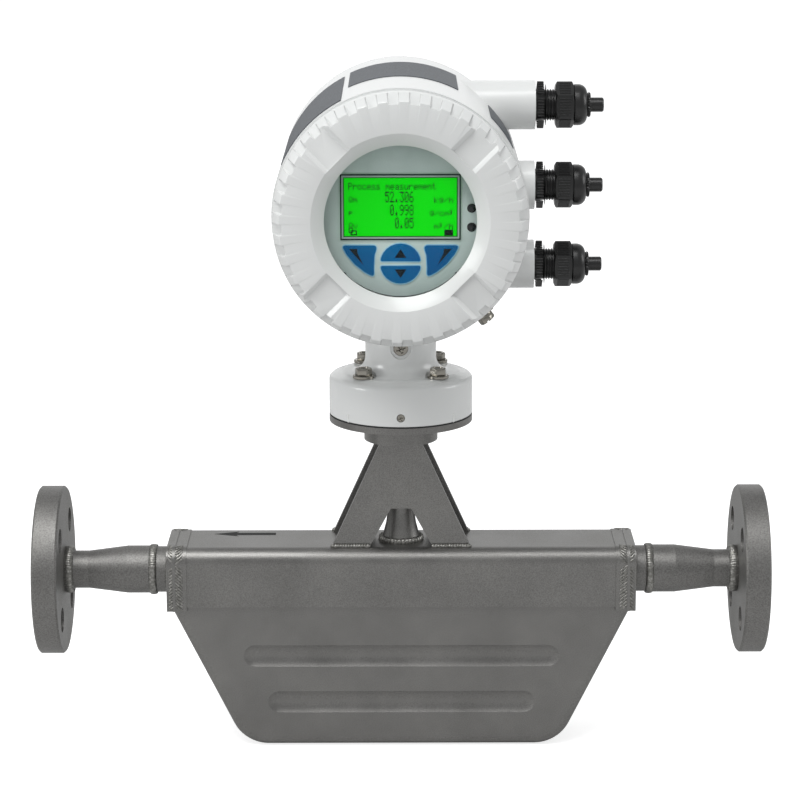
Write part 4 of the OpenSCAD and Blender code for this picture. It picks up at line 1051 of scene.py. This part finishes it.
def arc(radius, centre_y, from_deg, to_deg, count):
    """Points on a circle centred on the vertical axis."""
    return [(radius * math.cos(math.radians(from_deg + (to_deg - from_deg) * i / count)),
             centre_y + radius * math.sin(math.radians(from_deg + (to_deg - from_deg) * i / count)))
            for i in range(count + 1)]


class METER_OT_keys(MeterOperator):
    """Makes the four film keys with their outlines and symbols"""
    bl_idname = "meter.keys"
    bl_label = "Keys"

    def execute(self, context):
        looks = context.scene.meter_display
        front = CARRIER[0].y
        # The pad's middle below the head's axis, and the width of the keys' outline
        middle, line = 24.4, 0.5
        # Two halves of a round key, then a wedge on each side, bounded by the window and a wide arc
        round_r = 10.9 + line
        gap = 1.2 - line
        half_gap = math.degrees(math.asin(gap / round_r))
        upper = arc(round_r, 0, half_gap, 180 - half_gap, 12)
        lower = [(x, -y) for x, y in reversed(upper)]
        # Of the side keys: outer and inner radius, the inner one's middle, and upper and lower end
        reach, side_r, side_x, top, low = 34.8 + line, 27 - line, -12.7, 9.9 + line, -8.2
        outer_low = math.degrees(math.asin((low - middle) / reach))
        outer_top = math.degrees(math.asin((top - middle) / reach))
        inner_low = math.degrees(math.asin((low + 0.4) / side_r))
        inner_top = math.degrees(math.asin((top + 0.4) / side_r))
        right = arc(reach, middle, outer_low, outer_top, 4) + [
            (x + side_x, y) for x, y in arc(side_r, -0.4, inner_top, inner_low, 3)][:-1]
        left = [(-x, y) for x, y in reversed(right)]
        inks = [printed_film("pale_blue_screen_ink", looks.key_line, "#86c6e4"),
                printed_film("blue_printed_polyester_film", looks.key, "#0a63a2", 0.28)]
        keys = [key_plate(points, corner, inks) for points, corner in (
            (upper, 1.7), (lower, 1.7), (right, 3.2), (left, 3.2))]
        for key in keys:
            place(key, (MIDDLE, front, HEAD_Z - middle * MM), (FACE, 0, 0))
        pad = join(keys)
        hand_in(pad, "key_pad", "head", inks, ["key_film"])

        def symbols():
            """The triangles of the round key and the slanting marks of the side keys."""
            for side in (1, -1):
                self.shape([(-3.2, side * 3.1), (3.2, side * 3.1), (0, side * 7.9)])
                self.shape([(side * 27.5, 8.0), (side * 23.1, 8.0), (side * 22.9, 5.6),
                            (side * 19.6, -1.1)])
        marks = place(flat_piece(0.03, symbols), (MIDDLE, front - 0.4 * MM, HEAD_Z - middle * MM),
                      (FACE, 0, 0))
        hand_in(marks, "key_symbols", "head", printed_film("dark_screen_ink", looks.symbol, "#18252d"))
        return {"FINISHED"}

    def shape(self, points):
        """Adds one flat shape to the piece in edit mode."""
        mesh = bmesh.from_edit_mesh(bpy.context.object.data)
        face = mesh.faces.new([mesh.verts.new((x * MM, y * MM, 0)) for x, y in points])
        face.normal_update()
        if face.normal.z < 0:
            face.normal_flip()
        bmesh.update_edit_mesh(bpy.context.object.data)


# ---- Hexagons, glands and fasteners ----

def hexagon(af, high, chamfer=0.8, both=True):
    """A hexagon with turned chamfers, corners along X as the CAD's."""
    corner = af / 2 / math.cos(math.radians(30))
    nut = turned([(corner, 0), (corner, high)], segments=6)
    place(nut, turn=(0, 0, math.radians(30)))
    fall = chamfer * 0.6
    foot = [(af / 2 * 0.97, -0.01), (corner + 0.05, fall)] if both else [(corner + 1, -0.01)]
    lens = turned(foot + [(corner + 0.05, high - fall), (af / 2 * 0.97, high + 0.01)], segments=72)
    return cut(nut, lens, "INTERSECT")


def thread(radius, depth, pitch, high, from_z=0.0):
    """Rings of a thread, crest after crest, in mm."""
    rings = []
    count = max(1, round(high / pitch))
    step = high / count
    for turn in range(count):
        z = from_z + turn * step
        rings += [(radius - depth, z), (radius - depth, z + 0.15 * step), (radius, z + 0.45 * step),
                  (radius, z + 0.6 * step), (radius - depth, z + 0.9 * step)]
    return rings + [(radius - depth, from_z + high)]


def grip_ribs(af, low, high, depth, per_flat=7):
    """Fine grip ribs on the six flats of a hexagon."""
    flat = af / 2 * math.tan(math.radians(30)) * 2
    ribs = []
    for side in range(6):
        for i in range(per_flat):
            across = (i - (per_flat - 1) / 2) * flat * 0.82 / per_flat
            rib = block((depth * 2, flat * 0.45 / per_flat, high - low), round_mm=depth * 0.45,
                        segments=1)
            place(rib, (af / 2 * MM, across * MM, (low + high) / 2 * MM))
            ribs.append(place(rib, turn=(0, 0, math.radians(30 + 60 * side))))
    return ribs


class METER_OT_glands(MeterOperator):
    """Makes the three cable glands: body, dome nut and blanking plug"""
    bl_idname = "meter.glands"
    bl_label = "Cable Glands"

    def execute(self, context):
        looks = context.scene.meter_glands
        plastic = moulded("moulded_black_polyamide", looks.polyamide, 0.3, 0.7, 0.12)
        rib = looks.rib / MM
        deep = looks.thread / MM
        # All at the middle gland first, the boss's face at zero height
        hexa = join([soften(hexagon(24, 6.1, 1.4), 0.25, 40)] + grip_ribs(24, 1.2, 4.9, rib))
        shank = turned([(6.5, -12)] + thread(9.9, deep, 1.5, 12, -12) + [(8.6, 6.0)]
                       + thread(9, deep, 1.5, 12, 6.6) + [(8.2, 19.2), (6.5, 19.4)], 72)
        bore = turned([(6.5, -13), (6.5, 22)], 48)
        shank = cut(shank, bore)
        hexa_bore = turned([(8, -1), (8, 8)], 48)
        body = join([cut(hexa, hexa_bore), shank])
        nut_hex = soften(hexagon(23.2, 10.6, 1.8), 0.25, 40)
        skirt = join([nut_hex] + grip_ribs(23.2, 2.0, 8.6, rib * 0.8))
        cut(skirt, turned([(9.1, -1), (9.1, 12)], 72))
        place(skirt, (0, 0, 11.5 * MM))
        # The dome springs from the hexagon and rolls over to its mouth
        wide, top, turn_in = 11.7, 29.7, 5
        roll = [(wide - turn_in + turn_in * math.cos(math.radians(a)),
                 top - turn_in + turn_in * math.sin(math.radians(a))) for a in range(0, 91, 10)]
        dome = turned([(9.1, 22.0), (11.2, 22.0), (wide, 22.5)] + roll
                      + [(5.8, top), (5.8, 27.7), (9.1, 27.7)], 96, closed=True)
        nut = join([skirt, dome])
        plug = self.plug()
        # The face of the boss, how far back the glands sit, and the middle one's height and pitch
        boss, back, height, pitch = 76.8, 65, 210, 46
        for level, name in ((1, "top"), (0, "middle"), (-1, "lower")):
            for part, body_name, source in (("body", "head", body), ("nut", f"{name}_gland_nut", nut),
                                            ("plug", f"{name}_gland_carrier", plug)):
                made = again(source, spot(boss, back, height + pitch * level), (0, FACE, 0))
                hand_in(made, f"{name}_gland_{part}_moulding", body_name, plastic,
                        [f"{name}_gland_{part}"], angle=32)
        for source in (body, nut, plug):
            bpy.data.objects.remove(source)
        return {"FINISHED"}

    def plug(self):
        """A blanking plug: a shank, a flange with a milled edge and a chamfered end with a dimple."""
        plug = turned([(3.6, 13.5), (4.1, 14), (4.1, 30), (6.6, 30), (7, 30.4), (7, 31.2), (6.6, 31.6),
                       (4.4, 31.6), (4.1, 31.9), (4.1, 38.5), (3.4, 39.2), (1.8, 39.2), (1.2, 38.4),
                       (0, 38.4)], segments=96)
        edit(plug)
        pick(lambda co, normal: math.hypot(co.x, co.y) > 6.8 * MM
             and round(math.degrees(math.atan2(co.y, co.x)) / 3.75) % 4 < 2, "VERT")
        bpy.ops.transform.resize(value=(0.93, 0.93, 1), center_override=(0, 0, 0))
        bpy.ops.object.mode_set(mode="OBJECT")
        return plug


class METER_OT_fasteners(MeterOperator):
    """Makes the collar bolts, the cross-head screws and the earth terminal"""
    bl_idname = "meter.fasteners"
    bl_label = "Bolts and Terminal"

    def execute(self, context):
        steel = FINISH["screw"]
        head = soften(hexagon(8.4, 4, 1.4, both=False), 0.2, 40)
        dish = turned([(2.6, 3.4), (2.9, 4.6)], 40)
        cut(head, dish)
        place(head, (0, 0, 1.6 * MM))
        washer = turned([(2.99, 0), (5.8, 0), (6, 0.2), (6, 1.3), (5.7, 1.6), (2.99, 1.6)], 72,
                        closed=True)
        shank = turned([(2.4, -28)] + thread(3, 0.4, 1.0, 20, -27.9) + [(2.99, -7.7), (2.99, 1.7)], 40)
        bolt = join([head, washer, shank])
        # The bolts' circle and the height of the flat they stand on; each is left at its own turn
        circle, flat = 29, 115.7
        bolts = []
        for quarter, spin in ((0, 8), (1, 31), (2, -12), (3, 22)):
            angle = math.radians(45 + 90 * quarter)
            bolts.append(again(bolt, spot(circle * math.cos(angle), circle * math.sin(angle), flat),
                               (0, 0, math.radians(spin))))
        bpy.data.objects.remove(bolt)
        hand_in(join(bolts), "collar_bolt_set", "sensor", steel, ["collar_bolts"])

        for node, radius in (("collar_set_screw", 2.2), ("lock_screw", 4.0)):
            low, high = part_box(node)
            hand_in(self.cross_screw(radius, (high.y - low.y) / MM, (low.x + high.x) / 2,
                                     low.y, (low.z + high.z) / 2), f"{node}_cross",
                    body_of_node(node), steel, [node])

        clamp = block((14, 11, 1.5), round_mm=0.4)
        place(clamp, (0, 0, 0.75 * MM))
        split = turned([(2.6, 1.5), (4.5, 1.5), (4.5, 2.4), (2.6, 2.4)], 48, closed=True)
        screw = soften(hexagon(8, 3.5, 1.0, both=False), 0.12, 40)
        cut(screw, block((1.2, 12, 1.6), (0, 0, 3.6 * MM)))
        place(screw, (0, 0, 2.45 * MM))
        core = turned([(2.59, 0.2), (2.59, 3.0)], 32)
        terminal = join([tidy(clamp), split, screw, core])
        # It sits 52 degrees below the side, this far off the head's axis and in front of its middle
        off_axis, forward = 72, 25
        tip = math.radians(90 + 52)
        out = Vector((math.sin(tip), 0, math.cos(tip))) * off_axis * MM
        place(terminal, turn=(0, tip, 0))
        place(terminal, AXIS + out + Vector((0, -forward * MM, 0)))
        hand_in(terminal, "earth_clamp", "head", steel, ["earth_terminal"])
        return {"FINISHED"}

    def cross_screw(self, radius, long, x, y, z):
        """A screw with a cross recess, its face towards the front."""
        screw = turned([(radius * 0.6, -long), (radius * 0.6, 2.3 - long), (radius - 0.4, 2.35 - long),
                        (radius - 0.4, -radius * 0.6), (radius - 0.02, 0.1 - radius * 0.6),
                        (radius - 0.02, -0.35), (radius - 0.35, 0)], 48)
        for turn in (0.35, 0.35 + FACE):
            cut(screw, block((radius * 1.35, radius * 0.34, radius * 0.9), turn=(0, 0, turn)))
        cut(screw, turned([(radius * 0.12, -radius * 0.7), (radius * 0.42, 0.2)], 24))
        place(screw, turn=(FACE, 0, 0))
        return place(screw, (x, y, z))


# ---- Welds ----

def ripple(along, out, across):
    """One ripple of a weld: a low lens with a few dozen faces, its length along X."""
    clear()
    bpy.ops.mesh.primitive_uv_sphere_add(segments=10, ring_count=6, radius=1, location=(0, 0, 0))
    lens = bpy.context.object
    edit(lens, whole=True)
    bpy.ops.transform.resize(value=(along * MM, out * MM, across * MM))
    # The trailing side of a ripple is drawn out
    pick(lambda co, normal: co.x > 0.3 * along * MM, "VERT")
    bpy.ops.transform.resize(value=(1, 0.72, 0.8), center_override=(0, 0, 0))
    bpy.ops.object.mode_set(mode="OBJECT")
    return lens


def chevron():
    """One chevron of a wide weld: two slanting ripples, the seam along X, standing out along Y."""
    arms = []
    for side in (-1, 1):
        arm = ripple(0.75, 0.42, 2.9)
        place(arm, turn=(0, math.radians(side * 38), 0))
        arms.append(place(arm, (0, 0, side * 1.9 * MM)))
    return join(arms)


def weld_ring(radius, bead, pitch, flat=0.7):
    """Ripples round a pipe whose axis is Z."""
    lens = ripple(pitch * 1.15, bead * flat, bead)
    place(lens, (0, radius * MM, 0))
    count = max(12, round(2 * math.pi * radius / pitch))
    edit(lens, whole=True)
    bpy.ops.mesh.spin(steps=count - 1, dupli=True, angle=2 * math.pi * (count - 1) / count,
                      center=(0, 0, 0), axis=(0, 0, 1))
    bpy.ops.object.mode_set(mode="OBJECT")
    return lens


def weld_run(length_mm, bead, pitch, flat=0.7):
    """Ripples along X, from the origin on, standing out along Y."""
    lens = ripple(pitch * 1.15, bead * flat, bead)
    return row(lens, max(2, round(length_mm / pitch) + 1), pitch)


class METER_OT_welds(MeterOperator):
    """Lays the ripple welds of pipes, case ends and tower, and the conduit's cone"""
    bl_idname = "meter.welds"
    bl_label = "Welds"

    def execute(self, context):
        looks = context.scene.meter_steel
        pitch = looks.ripple / MM
        bead = looks.bead / MM
        runs = []
        for side in (-1, 1):
            # At the flange, the manifold and the case end: place, pipe radius and bead
            for x, radius, wide in ((188.2, 12.3, 2.7), (140.4, 13.5, 2.2), (131.9, 13.1, 1.2)):
                ring = weld_ring(radius, wide, pitch, 0.4)
                runs.append(place(ring, spot(side * x, 0, 0), (0, FACE, 0)))
            runs += self.case_seam(side * 126.4)
            for face in (-1, 1):
                run = weld_run(19.5, bead * 1.1, pitch, 0.9)
                runs.append(place(run, spot(28.2 * side - 9.75, face * 17.2, 18.0),
                                  (math.radians(45), 0, 0)))
        runs.append(place(weld_ring(10.9, 2.4, 2.2, 0.8), spot(0, 0, 18.4)))
        hand_in(join(runs), "ripple_welds", "sensor", FINISH["weld"], angle=60)
        # The conduit stands on the case in a turned cone
        cone = turned([(7.4, -0.8), (11.6, -0.8), (11.2, 0.6), (9.9, 4), (8.5, 9.5), (7.75, 14.5),
                       (7.62, 16.5), (7.4, 16.7), (7.4, -0.8)], 64, closed=True)
        place(cone, spot(0, 0, 18.0))
        hand_in(cone, "conduit_cone", "sensor", FINISH["sheet"])
        return {"FINISHED"}

    def case_seam(self, x):
        """The wide weld round one end of the case: chevrons up both sides and round both bends."""
        # The case's top, half its depth, the radius of its bends, and the pitch of the chevrons
        top, half, bend, pitch = 18.2, 25.55, 8.5, 1.9
        turn = (FACE, 0, FACE)
        seam = []
        for face in (-1, 1):
            rise = top - bend + 15.5
            side = row(chevron(), round(rise / pitch), -pitch)
            place(side, turn=(0, 0, -FACE))
            if face < 0:
                place(side, turn=(0, math.pi, 0))
            place(side, turn=turn)
            place(side, spot(x, face * half, top - bend - rise))
            seam.append(side)
            curve = chevron()
            place(curve, (0, bend * MM, 0))
            edit(curve, whole=True)
            bpy.ops.mesh.spin(steps=6, dupli=True, angle=face * math.radians(78), center=(0, 0, 0),
                              axis=(0, 0, 1))
            bpy.ops.object.mode_set(mode="OBJECT")
            seam.append(place(place(curve, turn=turn), spot(x, face * (half - bend), top - bend)))
        return seam


# ---- Marks ----

class METER_OT_marks(MeterOperator):
    """Adds the flow arrow on the case and the index marks on the collar"""
    bl_idname = "meter.marks"
    bl_label = "Marks"

    def execute(self, context):
        arrow = outline([(-17.5, 0), (-3.6, 4.6), (-5.2, 2.2), (17.5, 2.2), (17.5, -2.2), (-5.2, -2.2),
                         (-3.6, -4.6)], 0.08)
        place(arrow, spot(-88.9, 10, 17.7))
        ink = printed_film("etched_black_oxide", "#242424", "#2e2e2d", 0.6)
        hand_in(arrow, "flow_arrow", "sensor", ink)
        # The collar's radius, and how far to each side of its middle a mark stands
        rim, across = 40, 29.0
        marks = []
        for side in (-1, 1):
            mark = block((0.8, 1.2, 4.4), round_mm=0.25)
            proud = 0.25 - math.sqrt(rim ** 2 - across ** 2)
            marks.append(place(mark, spot(side * across, proud, 94.2)))
        hand_in(join(marks), "collar_index_marks", "sensor",
                printed_film("white_index_paint", "#f2f3f1", "#e6e7e4", 0.5))
        return {"FINISHED"}


# ---- Panel, registration and the order of work ----

class METER_PT_panel(bpy.types.Panel):
    """Lists the steps that dress the meter"""
    bl_idname = "METER_PT_panel"
    bl_label = "Flow Meter Looks"
    bl_space_type = "VIEW_3D"
    bl_region_type = "UI"
    bl_category = "Flow Meter"

    def draw(self, context):
        column = self.layout.column(align=True)
        for step in STEPS:
            column.operator(step.bl_idname)
        for group in GROUPS:
            box = self.layout.box()
            looks = getattr(context.scene, group)
            for key in looks.bl_rna.properties.keys():
                if key not in ("rna_type", "name"):
                    box.prop(looks, key)


STEPS = (METER_OT_stage, METER_OT_steel, METER_OT_inside, METER_OT_coat, METER_OT_covers,
         METER_OT_labels, METER_OT_display, METER_OT_keys, METER_OT_glands, METER_OT_fasteners,
         METER_OT_welds, METER_OT_marks)
GROUPS = {"meter_steel": MeterSteel, "meter_head": MeterHead, "meter_display": MeterDisplay,
          "meter_glands": MeterGlands, "meter_stage": MeterStage}


def register():
    """Registers the properties, the steps and the panel."""
    for made in (*GROUPS.values(), *STEPS, METER_PT_panel):
        bpy.utils.register_class(made)
    for name, group in GROUPS.items():
        setattr(bpy.types.Scene, name, bpy.props.PointerProperty(type=group))


def unregister():
    """Takes them out again."""
    for name in GROUPS:
        delattr(bpy.types.Scene, name)
    for made in reversed((*GROUPS.values(), *STEPS, METER_PT_panel)):
        bpy.utils.unregister_class(made)


def main():
    """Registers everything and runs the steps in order."""
    register()
    for step in STEPS:
        section, name = step.bl_idname.split(".")
        getattr(getattr(bpy.ops, section), name)()
    clear()


if __name__ == "__main__":
    main()
